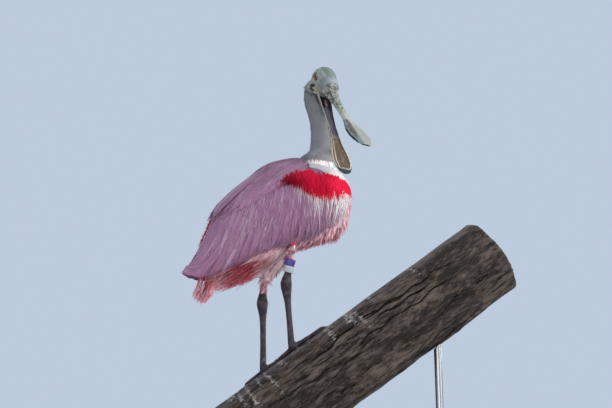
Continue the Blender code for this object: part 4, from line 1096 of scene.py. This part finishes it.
wingRows = (  # share along the streamline where the row starts, its length, count, half width and lift, in mm
    (0.28, 0.69, 31, 9.0, -4.2),
    (0.30, 0.69, 16, 10.5, -3.4),
    (0.24, 0.62, 22, 8.5, -2.8),
    (0.16, 0.54, 24, 7.5, -2.2),
    (0.08, 0.46, 26, 6.8, -1.6),
    (0.00, 0.40, 26, 6.2, -1.1),
    (-0.06, 0.32, 26, 5.6, -0.6),
)
capeRows = ((0.35, 0.64, 14, 9.0, -0.2), (0.18, 0.6, 15, 8.0, 0.3), (0.02, 0.5, 15, 7.0, 0.7))
barbRuns = {  # count, seed, start, length, half width in mm, and their lift along the rows
    "wing": (1300, 31, (0.0, 0.86), (0.10, 0.17), 0.7,
             ((0.0, 0.2, 0.35, 0.5, 0.65, 0.8, 1.0), (-0.4, -0.5, -1.0, -1.5, -2.1, -2.7, -3.1))),
    "edge": (350, 32, (0.84, 0.93), (0.08, 0.12), 0.7, ((0.8, 1.0), (-2.6, -3.0))),
    "cape": (1100, 45, (0.0, 0.88), (0.10, 0.18), 0.75,
             ((0.0, 0.45, 0.6, 0.75, 1.0), (0.9, 0.9, 0.6, 0.6, 1.1))),
}


def barbsOf(lines, side, run):  # fine silky barbs over the rows
    count, seed, starts, lengths, half, lifts = barbRuns[run]
    draw = np.random.default_rng(seed)
    f = draw.uniform(0.0, 1.0, count)
    start = draw.uniform(*starts, count)
    lift = np.interp(start, *lifts) * mm + 0.0004 * f
    return streamFeathers(lines, side, f, start, draw.uniform(*lengths, count), half * mm,
                          lift + draw.uniform(0, 0.0004, count), 4, "barb", seed, 0.00018, 0.02, 0.0009)


def staggered(count, row):  # places of a row's feathers, every other row moved by half a feather
    return (np.arange(count) + 0.5 * (row % 2)) / (count - 0.5)


def buildWing(side):
    name = sideName[side]
    parts = []
    for n, (start, length, count, half, lift) in enumerate(wingRows):
        f = staggered(count, n)
        half = half * mm * (1 + 0.12 * smooth(0.4, 0.6, f) * smooth(0.95, 0.8, f))
        stack = 0.0011 * f if n < 2 else 0.0005 * f
        lift = lift * mm + stack
        parts.append(streamFeathers(wingLines, side, f, start, length, half, lift, 10, "vane", 19 + n))
    parts += [barbsOf(wingLines, side, run) for run in ("wing", "edge")]
    coatPiece("wing_plumage_" + name, parts, plumage["wing"], ("wing_" + name,))
    cape = []
    for n, (start, length, count, half, lift) in enumerate(capeRows):
        f, rise = staggered(count, n), 0.0014 if n == 0 else 0.0
        cape.append(streamFeathers(capeLines, side, f, start, length, half * mm, lift * mm, 10, "vane", 40 + n,
                                   rise=rise))
    cape.append(streamFeathers(capeLines, side, np.linspace(0.58, 0.80, 7), 0.35, np.linspace(0.66, 0.58, 7),
                               4.5 * mm, 0.7 * mm, 10, "vane", 47, rise=0.006))
    cape.append(barbsOf(capeLines, side, "cape"))
    coatPiece("cape_" + name, cape, plumage["wing"])


for side in sideName:
    buildWing(side)

# Plumes that hang between two lines on the wing's envelope: crimson, pale strands, and the white ruff
plumeTop = ((5.40, 61), (5.90, 57), (6.60, 53), (6.95, 57), (7.5, 67), (8.0, 81), (8.4, 98), (8.6, 115),
            (8.5, 128))
plumeLow = ((5.35, 63), (5.65, 69), (5.95, 80), (6.15, 92), (6.45, 101), (7.0, 106), (7.5, 115), (7.95, 124),
            (8.1, 133))
ruffTop = ((7.5, 34), (8.0, 45), (8.5, 59), (8.95, 86), (8.95, 104), (8.9, 125))
ruffLow = ((6.6, 48), (7.1, 58), (7.8, 74), (8.3, 94), (8.55, 112), (8.6, 128))
plumes, ruff = (plumeTop, plumeLow), (ruffTop, ruffLow)
plumeRun = {"white": 0.0, "dark": 0.0, "sweep": 0.0, "kind": "barb", "loose": False}
crimsonRuns = (  # share of the fall, share along the lines, lengths, half width and lifts in mm
    plumeRun | {"count": 1900, "seed": 61, "lines": plumes, "share": (0.0, 0.72), "along": (0.0, 1.0),
                "length": (0.009, 0.026), "half": 0.8, "lift": (-0.7, 0.3), "dark": 1.0},
    plumeRun | {"count": 1100, "seed": 62, "lines": plumes, "share": (0.0, 0.62), "along": (0.03, 1.0),
                "length": (0.014, 0.034), "half": 0.55, "lift": (-0.1, 0.9), "dark": 0.9},
)
strandRuns = (
    plumeRun | {"count": 60, "seed": 63, "lines": plumes, "share": (0.6, 1.0), "along": (0.24, 0.55),
                "length": (0.010, 0.032), "half": 0.36, "lift": (-0.1, 0.7), "white": 0.8, "loose": True},
    plumeRun | {"count": 170, "seed": 64, "lines": plumes, "share": (0.66, 1.0), "along": (0.45, 1.0),
                "length": (0.012, 0.064), "half": 0.42, "lift": (0.0, 1.2), "white": 0.95, "sweep": 0.35,
                "loose": True},
)
ruffRuns = (
    # the first run's dark share greys the white locks: painted shade in the ruff's folds
    plumeRun | {"count": 1500, "seed": 65, "lines": ruff, "share": (0.25, 1.0), "along": (0.0, 1.0),
                "length": (0.010, 0.018), "half": 1.7, "lift": (-3.8, -2.2), "white": 0.92, "dark": 0.5,
                "kind": "lock"},
    plumeRun | {"count": 700, "seed": 66, "lines": ruff, "share": (0.2, 0.95), "along": (0.0, 1.0),
                "length": (0.010, 0.018), "half": 0.7, "lift": (-2.6, -1.4), "white": 1.0},
)
plumeShare = {-1: 1.0, 1: 0.6}  # the far side carries fewer


def hungPlumes(side, run):
    draw = np.random.default_rng(run["seed"] + (7 if side > 0 else 0))
    count, dark, barb = int(run["count"] * plumeShare[side]), run["dark"], run["kind"] == "barb"
    first, last = run["along"]
    f = first + (last - first) * draw.random(count) ** (0.75 if dark else 1.0)
    down = draw.uniform(*run["share"], count)
    top, low = (listAt(line, f) for line in run["lines"])
    away = np.stack([draw.normal(0, 0.06, count), draw.normal(0, 1.2, count)], 1)
    root = top + (low - top) * down[:, None] + away
    height = (run["lift"][0] + (run["lift"][1] - run["lift"][0]) * (1 - down)) * mm
    place = wingPlaces(side, root[:, 0], root[:, 1], height)
    above = wingPlaces(side, root[:, 0], root[:, 1], height + 0.004)
    fall = wingPlaces(side, low[:, 0], low[:, 1], height) - wingPlaces(side, top[:, 0], top[:, 1], height)
    lay = unit(fall + np.array([0, 0, -0.008])) + draw.normal(0, 0.07, (count, 3))
    lay[:, 0] -= run["sweep"] * smooth(0.5, 0.9, f)
    short, long = run["length"]
    tall = np.linalg.norm(fall, axis=1) * (1 - down)
    reach = np.clip(tall * draw.uniform(0.7, 1.1, count), short, long)
    if run["loose"]:
        reach = short + (long - short) * draw.random(count) ** 1.2
    thin = 0.45 + 0.55 * smooth(0.0, 0.3, f) if dark and barb else 1.0
    made = freeTufts(place, unit(above - place), lay, reach, run["half"] * thin * mm, 6, 8.0, 9.0, 0.25, 0.0002,
                     0.02, run["kind"], run["seed"], 5.0)
    # For the crimson barbs the dark share is painted shade, growing toward the left end of the patch; about one
    # barb in eight is dark at random.
    shade = np.maximum(smooth(0.5, 0.12, f), 0.8 * (draw.random(count) > 0.87)) if barb else 1.0
    white = run["white"] * draw.uniform(0.8, 1.0, count)
    made["zone"] = whiteAndDarkShares(white, dark * shade * draw.uniform(0.5, 1.0, count))
    made["map"] = np.stack([0.03 + 0.94 * f, 0.1 + 0.8 * down], 1)
    return made


def buildPlumes():
    for side, name in sideName.items():
        parts = [hungPlumes(side, run) for run in crimsonRuns]
        coatPiece("crimson_plumes_" + name, parts, plumage["plume"])
    strands = [hungPlumes(side, run) for side in sideName for run in strandRuns]
    coatPiece("hanging_strands", strands, plumage["body"])
    white = [hungPlumes(side, run) for side in sideName for run in ruffRuns]
    coatPiece("white_ruff", white, plumage["neck"])


buildPlumes()


sliverSizes = {"count": 320, "station": 3.15, "span": 1.1, "lifts": (-0.0058, -0.0018),
               "length": (0.008, 0.014), "half": 0.001}


def buildSliver():  # crimson between the hind edges of the two wings
    draw = np.random.default_rng(90)
    count = sliverSizes["count"]
    share = draw.random(count)
    station = sliverSizes["station"] - sliverSizes["span"] * share
    place, above = (wingPlaces(-1, station, draw.normal(3, 4.0, count), lift) for lift in sliverSizes["lifts"])
    lay = np.tile(-np.array(bodyFrame.to_3x3().col[0]), (count, 1)) + draw.normal(0, 0.1, (count, 3))
    length = draw.uniform(*sliverSizes["length"], count)
    made = freeTufts(place, unit(above - place), lay, length, sliverSizes["half"], 5, 4.0, 6.0, 0.1, 0.0002, 0.02,
                     "barb", 91, 4.0)
    made["zone"] = whiteAndDarkShares(0 * share, draw.random(count))
    coatPiece("crimson_sliver", [made], plumage["plume"])


buildSliver()

# Tail: short feathers with frayed ends, long red and pale feathers under it
tailSizes = {"turn": 41.0, "start": ((-0.148, -0.016), (-0.127, -0.058)), "half": 5.4, "root": 0.008,
             "barbs": 900, "barbHalf": 0.8, "fringe": 26, "fringeReach": 0.006, "fringeHalf": 0.35}
tailRows = (  # height over the middle, count, reach and spread
    (0.0175, 7, 0.044, 0.020),
    (0.0120, 7, 0.048, 0.026),
    (0.0065, 7, 0.050, 0.030),
    (0.0015, 6, 0.052, 0.026),
)
undertail = {"count": 900, "from": -0.130, "to": -0.042, "length": (0.028, 0.050), "half": 0.0014}


def tailFrame():
    top, low = (np.array([x, 0.0, z]) for x, z in tailSizes["start"])
    turn = math.radians(tailSizes["turn"])
    out = np.array([-math.sin(turn), 0.0, -math.cos(turn)])
    over = np.array([-math.cos(turn), 0.0, math.sin(turn)])
    return (top + low) / 2, out, over


def tailFeathers(count, seed, reach, spread, half, level, steps=9, kind="vane"):
    middle, out, over = tailFrame()
    draw = np.random.default_rng(seed)
    root, t = tailSizes["root"], np.linspace(0, 1, steps)
    place = np.linspace(-1, 1, count) if kind == "vane" else draw.uniform(-1.05, 1.05, count)
    tips = reach * (1 - 0.10 * place ** 2) * draw.uniform(0.93, 1.04, count)
    curl = level + 0.004 * t ** 2 + draw.normal(0, 0.0006, count)[:, None] - 0.0028 * np.abs(place)[:, None]
    if kind != "vane":
        curl += draw.uniform(-0.006, 0.002, count)[:, None] * (0.4 + 0.6 * t)
    forward = 0.004 + (tips[:, None] - 0.004) * t
    local = middle + out * forward[..., None] + over * curl[..., None]
    local[..., 1] = place[:, None] * (root + (spread - root) * t ** 1.3)
    paths = worldOf(bodyFrame, local.reshape(-1, 3)).reshape(count, steps, 3)
    up = np.array(bodyFrame.to_3x3()) @ over
    return {"paths": paths, "ups": np.broadcast_to(up, paths.shape), "thick": 0.0003, "bend": 0.2,
            "halves": np.outer(half * mm * draw.uniform(0.9, 1.1, count), outline(kind, steps)),
            "zone": whiteAndDarkShares(0 * place, 0), "tint": draw.uniform(0, 1, count),
            "map": np.stack([0.5 + 0.4 * place, 0.2 + 0.6 * draw.random(count)], 1)}


def fringe(part, seed):  # frayed barbs past the ends of some feathers
    draw = np.random.default_rng(seed)
    which = np.repeat(np.arange(len(part["halves"])), tailSizes["fringe"])
    count = len(which)
    tip, before, ups = part["paths"][which, -1], part["paths"][which, -3], part["ups"][which, -1]
    along = unit(tip - before)
    across = unit(np.cross(ups, along))
    side = draw.uniform(-1, 1, count)[:, None]
    start = before + (tip - before) * draw.uniform(0.0, 0.7, count)[:, None]
    start += across * side * part["halves"].max() * 0.8
    heading = unit(along + across * side * 0.5 + ups * draw.normal(0, 0.12, count)[:, None])
    reach = heading * tailSizes["fringeReach"] * draw.uniform(0.6, 1.3, count)[:, None]
    droop = np.array([0, 0, -0.0012])
    return {"paths": np.stack([start + reach * t + droop * t * t for t in (0, 0.35, 0.7, 1.0)], 1),
            "ups": np.repeat(ups[:, None], 4, 1), "thick": 0.00018, "bend": 0.02,
            "halves": np.outer(np.full(count, tailSizes["fringeHalf"] * mm), outline("barb", 4)),
            "zone": whiteAndDarkShares(0.75 * draw.random(count), 0), "tint": draw.random(count), "map": part["map"][which]}


def buildTail():
    parts = []
    for level, count, reach, spread in tailRows:
        seed = 70 + int(level * 1e4)
        row = tailFeathers(count, seed, reach, spread, tailSizes["half"], level)
        parts += [row, fringe(row, seed + 1)]
    count = tailSizes["barbs"]
    barbs = tailFeathers(count, 75, 0.050, 0.028, tailSizes["barbHalf"], 0.001, 5, "barb")
    barbs["zone"] = whiteAndDarkShares(np.random.default_rng(76).random(count) ** 1.5, 0)
    coatPiece("tail_plumage", [*parts, barbs], plumage["tail"], ("tail",))


def buildUndertail():
    draw = np.random.default_rng(80)
    count = undertail["count"]
    x, y = draw.uniform(undertail["from"], undertail["to"], count), draw.uniform(-1, 1, count)
    width = 0.034 * smooth(-0.15, -0.08, x) + 0.008
    start = np.stack([x, y * width, -0.062 - 0.014 * smooth(-0.12, -0.06, x) + 0.014 * y * y], 1)
    ahead, _, up = np.array(bodyFrame.to_3x3()).T
    lay = -ahead + up * draw.uniform(-0.22, 0.10, count)[:, None] + np.array([0, 0, 0.06])
    length = draw.uniform(*undertail["length"], count)
    roots, down = worldOf(bodyFrame, start), np.tile(-up, (count, 1))
    made = freeTufts(roots, down, lay, length, undertail["half"], 6, 6, 8, 0.05, seed=81, wild=4.0)
    rear, fore, pale = smooth(-0.092, -0.104, x), smooth(-0.066, -0.046, x), draw.random(count)
    white = rear * pale * 0.7 + (1 - rear) * 0.35 * pale ** 4 + 0.6 * fore * pale
    made["zone"] = whiteAndDarkShares(white, (1 - rear) * (0.6 + 0.4 * pale) * (1 - 0.75 * fore))
    coatPiece("undertail_plumage", [made], plumage["tail"])


buildTail()
buildUndertail()

# Legs and feet
legColours = {"dark": (0.022, 0.016, 0.022), "mid": (0.10, 0.066, 0.084), "pale": (0.26, 0.20, 0.23),
              "pink": (0.46, 0.22, 0.27)}
legSizes = {"voxel": 0.0009, "scute": 0.0048, "left": 0.459, "right": 0.501}  # left, right: where pink starts


def makeLegs():
    material, shader, here = newMaterial("leg scales", {"Roughness": 0.5, "Specular IOR Level": 0.45})
    rough = here.noise(130.0, 4.0)
    plate = here.cells(330.0, (1.0, 1.0, 0.7), "DISTANCE_TO_EDGE").step(0.02, 0.16)
    base = rough.step(0.36, 0.66).mix(legColours["dark"], legColours["mid"])
    base = (here.noise(60.0, 3.0).step(0.55, 0.72) * 0.5).mix(base, legColours["pale"])
    base = (attribute(here, "pink") + (rough - 0.5) * 0.8).step(0.3, 0.7).mix(base, legColours["pink"])
    finishShader(shader, base * (plate * 0.5 + 0.6), plate * 1.2 + rough * 0.8, 0.6, 0.0008, rough * 0.3 + 0.35)
    return material


def scuted(piece):  # bands of scutes down the front, set into the surface
    points, normals = meshPoints(piece.data), meshNormals(piece.data)
    band = (points[:, 2] / legSizes["scute"]) % 1.0
    groove = np.exp(-((band - 0.5) / 0.12) ** 2) * smooth(-0.2, 0.5, normals[:, 0] - 0.4 * normals[:, 1])
    pushOut(piece.data, (0.16 * noiseAt(points, 0.0035, 3.0) - 0.22 * groove) * mm)


legMaterial = makeLegs()
for name in ("left", "right"):
    limb = remeshed("leg_" + name, [nodeMesh("shank_" + name), nodeMesh("foot_" + name)], legSizes["voxel"], 7)
    scuted(limb)
    above = meshPoints(limb.data)[:, 2] - legSizes[name]
    writeValues(limb.data, "pink", smooth(-0.004, 0.004, above))
    finishPiece(limb, legMaterial, ("shank_" + name, "foot_" + name))

clawSizes = {"sides": 12, "rings": 9, "root": 0.0024, "length": 0.0095, "girth": 0.0021, "tip": 0.0003}
toes = ((0.050, -8.0), (0.068, 20.0), (0.058, 46.0), (0.028, 192.0))  # length, and turn from up the log


def clawPath(tree, start, turned, length, turn):  # points over the log past a toe's end, and the last one's up
    axis, over = logFrame()
    ahead, aside = math.cos(math.radians(turn)), math.sin(math.radians(turn))
    path = []
    for share in np.linspace(0, 1, clawSizes["rings"]):
        reach = clawSizes["root"] + length + clawSizes["length"] * share
        angle = turned - reach * aside / logSizes["radius"]
        out = over * math.cos(angle) - np.array([0.0, 1.0, 0.0]) * math.sin(angle)
        heart = np.array(logSizes["lowEnd"]) + axis * (start + reach * ahead)
        hit = np.array(tree.ray_cast(Vector(heart + out * 0.13), Vector(-out))[0])
        path.append(hit + out * (0.0009 + 0.0019 * (1 - share) + 0.0011 * math.sin(math.pi * share)))
    return np.array(path), out


def buildClaws():  # a curved claw at the end of every toe
    axis, over = logFrame()
    tree = treeOf(nodeMesh("perch_log"))
    sides, rings = clawSizes["sides"], clawSizes["rings"]
    turn = np.arange(sides)[:, None] * 2 * math.pi / sides
    size = clawSizes["girth"] * (1 - np.linspace(0, 1, rings)) ** 0.8 + clawSizes["tip"]
    even, tip = np.arange(0, sides, 2), (rings - 1) * sides
    cap = np.stack([even, even + 1, (even + 2) % sides, 0 * even + rings * sides], 1)
    whole = np.concatenate([ringFaces(rings, sides), cap[:, ::-1], cap + [tip, tip, tip, 1]])
    points, faces = [], []
    for name in ("left", "right"):
        corners = meshPoints(nodeMesh("shank_" + name))
        end = corners[corners[:, 2] < corners[:, 2].min() + 0.002].mean(axis=0) - np.array(logSizes["lowEnd"])
        for toe in toes:
            path, out = clawPath(tree, end @ axis, math.atan2(-end[1], end @ over), *toe)
            ahead = unit(path[-1] - path[0])
            up = unit(out - ahead * (out @ ahead))
            ring = np.cross(ahead, up) * 0.8 * np.cos(turn) + up * np.sin(turn)
            faces.append(whole + len(points) * (rings * sides + 2))
            tube = path[:, None] + ring * size[:, None, None]
            points.append(np.concatenate([tube.reshape(-1, 3), path[[0, -1]]]))
    material, shader, here = newMaterial("claw horn", {"Roughness": 0.35})
    grain = here.noise(900.0, 3.0)
    finishShader(shader, grain.mix((0.012, 0.010, 0.012), (0.06, 0.05, 0.055)), grain, 0.2, 0.0003)
    addPiece("claws", np.concatenate(points), np.concatenate(faces), material)


def makeBand(name, colour, worn):
    material, shader, here = newMaterial(name, {"Roughness": 0.38})
    wear, grain = here.noise(260.0, 4.0), here.noise(1200.0, 2.0)
    finishShader(shader, wear.step(0.35, 0.75).mix(colour, worn), grain, 0.2, 0.0003, wear * 0.25 + 0.28)
    return material


bandLooks = {  # the band's colour and its worn shade
    "band_violet": ((0.085, 0.040, 0.25), (0.14, 0.075, 0.34)),
    "band_grey": ((0.46, 0.50, 0.52), (0.62, 0.66, 0.68)),
}
bandSizes = {"sides": 72, "lip": 0.45}


def roundedBand(name):  # a ring with rounded lips, fitted to its node
    points = meshPoints(nodeMesh(name))
    centre = points.mean(axis=0)
    away = points - centre
    axes = np.linalg.svd(away)[2]
    lengths = [np.ptp(away @ line) for line in axes]
    axis = axes[int(np.argmin(lengths))]
    radii = np.linalg.norm(away - np.outer(away @ axis, axis), axis=1)
    inner, outer = radii.min(), radii.max()
    first = unit(np.cross(axis, [0.0, 1.0, 0.0]))
    lip = (outer - inner) * bandSizes["lip"]
    near, far, rise = inner + lip, outer - lip, min(lengths) / 2 - lip
    section = []
    for n, (r, h) in enumerate(((far, rise), (near, rise), (near, -rise), (far, -rise))):
        turn = np.radians(90 * n + 22.5 * np.arange(5))
        section.append(np.stack([r + lip * np.cos(turn), h + lip * np.sin(turn)], 1))
    radius, level = np.concatenate(section).T[..., None]
    turn = np.arange(bandSizes["sides"])[:, None] * 2 * math.pi / bandSizes["sides"]
    spoke = first * np.cos(turn) + np.cross(axis, first) * np.sin(turn)
    rings = centre + spoke[:, None] * radius + axis * level
    faces = ringFaces(len(turn), len(radius), True)[:, [0, 3, 2, 1]]
    material = makeBand(name, *bandLooks[name])
    ring = addPiece("leg_" + name, rings.reshape(-1, 3), faces, material, (name,))
    faceOut(ring.data)


for name in bandLooks:
    roundedBand(name)

# Log: weathered wood with furrows, cracks and pale streaks
logSizes = {"radius": 0.065, "length": 0.56, "slope": 36.3, "lowEnd": (-0.1865, 0.0, 0.1862), "relief": 0.0032,
            "furrows": 110, "rings": 270, "sides": 220}


def logFrame():
    slope = math.radians(logSizes["slope"])
    axis = np.array([math.cos(slope), 0.0, math.sin(slope)])
    over = np.array([-math.sin(slope), 0.0, math.cos(slope)])
    return axis, over


def wrapped(angle):  # an angle between half a turn back and half a turn on
    return (angle + math.pi) % (2 * math.pi) - math.pi


def furrows(along, angle):  # depth of the grain's cracks, 0 to 1
    turn = angle + 0.05 * np.sin(along * 17 + 2 * np.sin(along * 5)) + 0.03 * np.sin(along * 41 + 1.7)
    depth = np.zeros_like(angle)
    draw = random.Random(9)
    for k in range(logSizes["furrows"]):
        at, start, length = draw.uniform(0, 2 * math.pi), draw.uniform(-0.1, 0.52), draw.uniform(0.03, 0.22)
        width, strength, lean = draw.uniform(0.010, 0.045), draw.uniform(0.3, 1.0), draw.uniform(-0.7, 0.7)
        bow = draw.uniform(-1.0, 1.0)
        away = along - start
        gap = wrapped(turn - at - lean * away - bow * away ** 2 * 4 + 0.03 * np.sin(along * 130 + k))
        reach = smooth(start, start + 0.03, along) * smooth(start + length, start + length - 0.03, along)
        depth = np.maximum(depth, strength * reach * np.exp(-(gap / width) ** 2))
    return depth


limeMarks = (  # pale droppings: place along the log, angles where they start and end, width in mm
    (0.078, 5, 34, 9.0), (0.092, 12, 60, 4.0), (0.109, 10, 75, 3.4), (0.131, 10, 50, 3.2), (0.146, 12, 80, 3.4),
    (0.176, 5, 36, 7.0), (0.262, 8, 60, 4.4), (0.270, 5, 30, 9.0), (0.304, 10, 58, 9.0), (0.316, 30, 70, 4.0),
    (0.352, 10, 35, 4.0), (0.43, 15, 50, 3.0), (0.21, -60, -10, 4.0), (0.36, -95, -30, 3.0))


def limeAt(along, angle):
    turn = np.degrees(wrapped(angle))
    value = np.zeros_like(angle)
    for k, (at, start, end, width) in enumerate(limeMarks):
        wave = 0.0020 * np.sin(np.radians(turn) * 3 + k) + 0.0006 * np.sin(np.radians(turn) * 17 + 2 * k)
        across = np.exp(-((along - at - wave) / (width * mm)) ** 2)
        reach = smooth(start - 6, start + 4, turn) * smooth(end + 14, end - 14, turn)
        value = np.maximum(value, across * reach)
    return value


def logRelief(along, angle, depth, top):  # the worn surface over the log's radius
    wander = 0.35 * np.sin(along * 9.0) + 0.2 * np.sin(along * 21.0 + 1.0)
    big = np.sin(5 * (angle + wander)) * 0.45 + np.sin(8 * angle - 3 * wander + 0.8) * 0.35
    swell = 0.35 * np.sin(along * 14.0 + angle)
    grain = np.stack([np.cos(angle) * 0.065, np.sin(angle) * 0.065, along * 0.12], 1)
    fine = noiseAt(grain, 0.0035, 2.0) * 0.7 + noiseAt(grain, 0.0016, 4.0) * 0.35
    ridge = np.abs(noiseAt(grain * [1, 1, 1.6], 0.011, 5.0)) * 2
    coarse = noiseAt(grain * [1, 1, 3], 0.03, 6.0)
    rough = 0.0009 * fine + 0.0016 * (ridge - 0.5) + 0.0016 * coarse - 0.0034 * depth
    rise = logSizes["relief"] * ((1 - 0.7 * top) * (big + swell) - 0.3)
    rise += rough * (1 - 0.72 * top) - 0.0007 * depth - 0.0007
    edges = smooth(0.0, 0.004, along) * smooth(logSizes["length"], logSizes["length"] - 0.004, along)
    return rise - 0.003 * (1 - edges)


endRings = (0.97, 0.93, *np.linspace(0.88, 0.02, 30))
endCracks = ((0.7, 0.1), (2.4, 0.4), (3.9, 0.2), (5.3, 0.5))  # their angle, and how near the heart they start


def cutFace(rim, heart, inward, turn):  # rings of a sawn end from its rim to the heart
    rings, cracks = [], []
    for share in endRings:
        crack = sum(np.exp(-(wrapped(turn - at) / 0.03) ** 2) * smooth(low, 0.75, share)
                    for at, low in endCracks)
        dip = 0.0008 + 0.0016 * crack + 0.0003 * np.sin(share * 75 + 2 * np.sin(turn))
        rings.append(heart + (rim - heart) * share + inward * dip[:, None])
        cracks.append(crack)
    return np.concatenate(rings), np.concatenate(cracks), np.repeat(endRings, len(turn))


def buildLog():
    axis, over = logFrame()
    rings, sides, low = logSizes["rings"], logSizes["sides"], np.array(logSizes["lowEnd"])
    along = np.repeat(np.linspace(0, logSizes["length"], rings), sides)
    angle = np.tile(np.arange(sides) * 2 * math.pi / sides, rings)
    top = np.maximum(0.0, np.cos(angle)) ** 2
    depth = furrows(along, angle)
    radius = logSizes["radius"] + logRelief(along, angle, depth, top)
    out = over * np.cos(angle)[:, None] - np.array([0.0, 1.0, 0.0]) * np.sin(angle)[:, None]
    surface = low + axis * along[:, None] + out * radius[:, None]
    parts, faces = [(surface, depth, 0 * depth)], [ringFaces(rings, sides)]
    count = len(surface)
    for first, share, inward in ((0, 0.0, axis), (count - sides, logSizes["length"], -axis)):
        made = cutFace(surface[first:first + sides], low + axis * share, inward, angle[:sides])
        order = np.concatenate([first + np.arange(sides), count + np.arange(len(made[0]))])
        quads = order[ringFaces(len(endRings) + 1, sides)]
        faces.append(quads if first else quads[:, ::-1])
        parts.append(made)
        count += len(made[0])
    points, depth, cut = (np.concatenate(values) for values in zip(*parts))
    log = addPiece("weathered_log", points, np.concatenate(faces), makeLogWood(), ("perch_log",),
                   60)
    faceOut(log.data)
    place, rest = points - low, np.zeros(count - len(top))
    writeMasks(log.data, {
        "depth": depth, "cut": cut, "grain": np.stack([place @ axis, place @ over, place[:, 1]], 1),
        "top": np.concatenate([top, rest]), "lime": np.concatenate([limeAt(along, angle), rest]),
    })
    print("log", len(log.data.polygons))


logColours = {"dark": (0.006, 0.0045, 0.004), "brown": (0.027, 0.019, 0.016), "tan": (0.20, 0.15, 0.12),
              "grey": (0.23, 0.215, 0.22), "lime": (0.62, 0.60, 0.57), "cut": (0.26, 0.19, 0.12),
              "cutDark": (0.11, 0.07, 0.045)}


def makeLogWood():
    material, shader, here = newMaterial("weathered wood", {"Roughness": 0.85, "Specular IOR Level": 0.3})
    grain = attribute(here, "grain", 1)
    long = grain.noise(70.0, 6.0, 0.72, (0.30, 1.0, 1.0), 0.8)
    fine = grain.noise(300.0, 5.0, 0.75, (0.24, 1.0, 1.0), 0.4)
    broad = grain.noise(16.0, 4.0, 0.6, (0.5, 1.0, 1.0))
    speck = grain.noise(260.0, 3.0, 0.75)
    depth, top, cut, lime = (attribute(here, name) for name in ("depth", "top", "cut", "lime"))
    base = (long * 0.6 + fine * 0.5 + broad * 0.3 - 0.2).step(0.42, 0.66)
    base = base.mix(logColours["brown"], logColours["tan"])
    # Grey patches follow the grain's noise, with more of them over the top: the extra grey on top is a painted
    # highlight from above.
    base = ((top * 0.34 + long * 0.5 + speck * 0.3).step(0.56, 0.80) * 0.85).mix(base, logColours["grey"])
    # Near-black in the furrows and along dark streaks of the grain: painted shade in the cracks.
    crack = (depth * 0.7 + (0.5 - long) * 0.9 + (0.5 - fine) * 0.5).step(0.10, 0.42)
    base = (crack * 0.94).mix(base, logColours["dark"])
    stain = (lime * 0.62 + (speck - 0.5) * 2.4 + (fine - 0.5) * 1.8).step(0.36, 0.8) * lime.step(0.05, 0.3)
    base = (stain * 0.75).mix(base, logColours["lime"])
    rings = (cut * 150.0 + broad * 9.0).wave() * 0.5 + 0.5
    end = (rings * 0.7 + fine * 0.5).step(0.2, 0.95).mix(logColours["cutDark"], logColours["cut"])
    # the end's cracks near-black: painted shade
    end = depth.step(0.25, 0.7).mix(end, logColours["dark"])
    base = cut.step(0.0, 0.01).mix(base, end)
    finishShader(shader, base * (fine * 0.9 + 0.55), long * 1.3 + fine + speck * 0.3 - depth, 0.9, 0.0030,
                 broad * 0.2 + 0.72)
    return material


buildLog()
buildClaws()
print("legs, claws and log set")

# Stand: dark board and brushed rods, with collars where the rods enter the board
standLooks = {"woodDark": (0.035, 0.018, 0.010), "woodLight": (0.115, 0.060, 0.032),
              "steel": (0.56, 0.56, 0.58), "steelDark": (0.44, 0.44, 0.46), "collarSides": 48}


def makeBoard():
    fixed = {"Roughness": 0.35, "Coat Weight": 0.35, "Coat Roughness": 0.18}
    material, shader, here = newMaterial("dark board", fixed)
    long = here.noise(22.0, 6.0, 0.62, (0.16, 1.6, 1.6), 0.6)
    pores = here.noise(420.0, 3.0, 0.7, (0.05, 1.0, 1.0))
    bands = ((long * 26.0).wave() * 0.5 + 0.5) * 0.45 + long * 0.6
    base = bands.step(0.1, 0.95).mix(standLooks["woodDark"], standLooks["woodLight"])
    finishShader(shader, base * (pores * 0.7 + 0.62), pores * 0.6 + bands * 0.25, 0.25, 0.0006,
                 pores * 0.25 + 0.26)
    return material


def makeSteel():
    material, shader, here = newMaterial("brushed steel", {"Roughness": 0.3, "Metallic": 1.0})
    brushed = here.noise(900.0, 3.0, 0.6, (1.0, 1.0, 0.03))
    colour = (brushed * 0.3 + 0.35).mix(standLooks["steelDark"], standLooks["steel"])
    finishShader(shader, colour, brushed, 0.1, 0.0002, brushed * 0.22 + 0.2)
    return material


boardWood, rodSteel = makeBoard(), makeSteel()
for name, material in (("stand_board", boardWood), ("stand_rod_low", rodSteel), ("stand_rod_high", rodSteel)):
    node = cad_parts[name]
    if node.material_slots:
        node.material_slots[0].material = material
    else:
        node.data.materials.append(material)


collarShape = (  # radius and height of the collar's outline
    (0.0064, 0.0), (0.0135, 0.0), (0.0140, 0.0006), (0.0138, 0.0022), (0.0105, 0.0034), (0.0088, 0.0060),
    (0.0080, 0.0078), (0.0064, 0.0082))


def collar(name, x, z):  # a small turned foot round a rod
    radius, level = np.array(collarShape).T
    sides = standLooks["collarSides"]
    turn = np.arange(sides)[:, None] * 2 * math.pi / sides
    points = np.stack([x + radius * np.cos(turn), radius * np.sin(turn), z + level + 0 * turn], 2)
    faces = ringFaces(sides, len(radius), True)[:, [0, 3, 2, 1]]
    addPiece(name, points.reshape(-1, 3), faces, rodSteel, (), 35)


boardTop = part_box("stand_board")[1][2]
for name in ("stand_rod_low", "stand_rod_high"):
    low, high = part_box(name)
    collar(name.replace("rod", "collar"), (low[0] + high[0]) / 2, boardTop)
print("stand set")
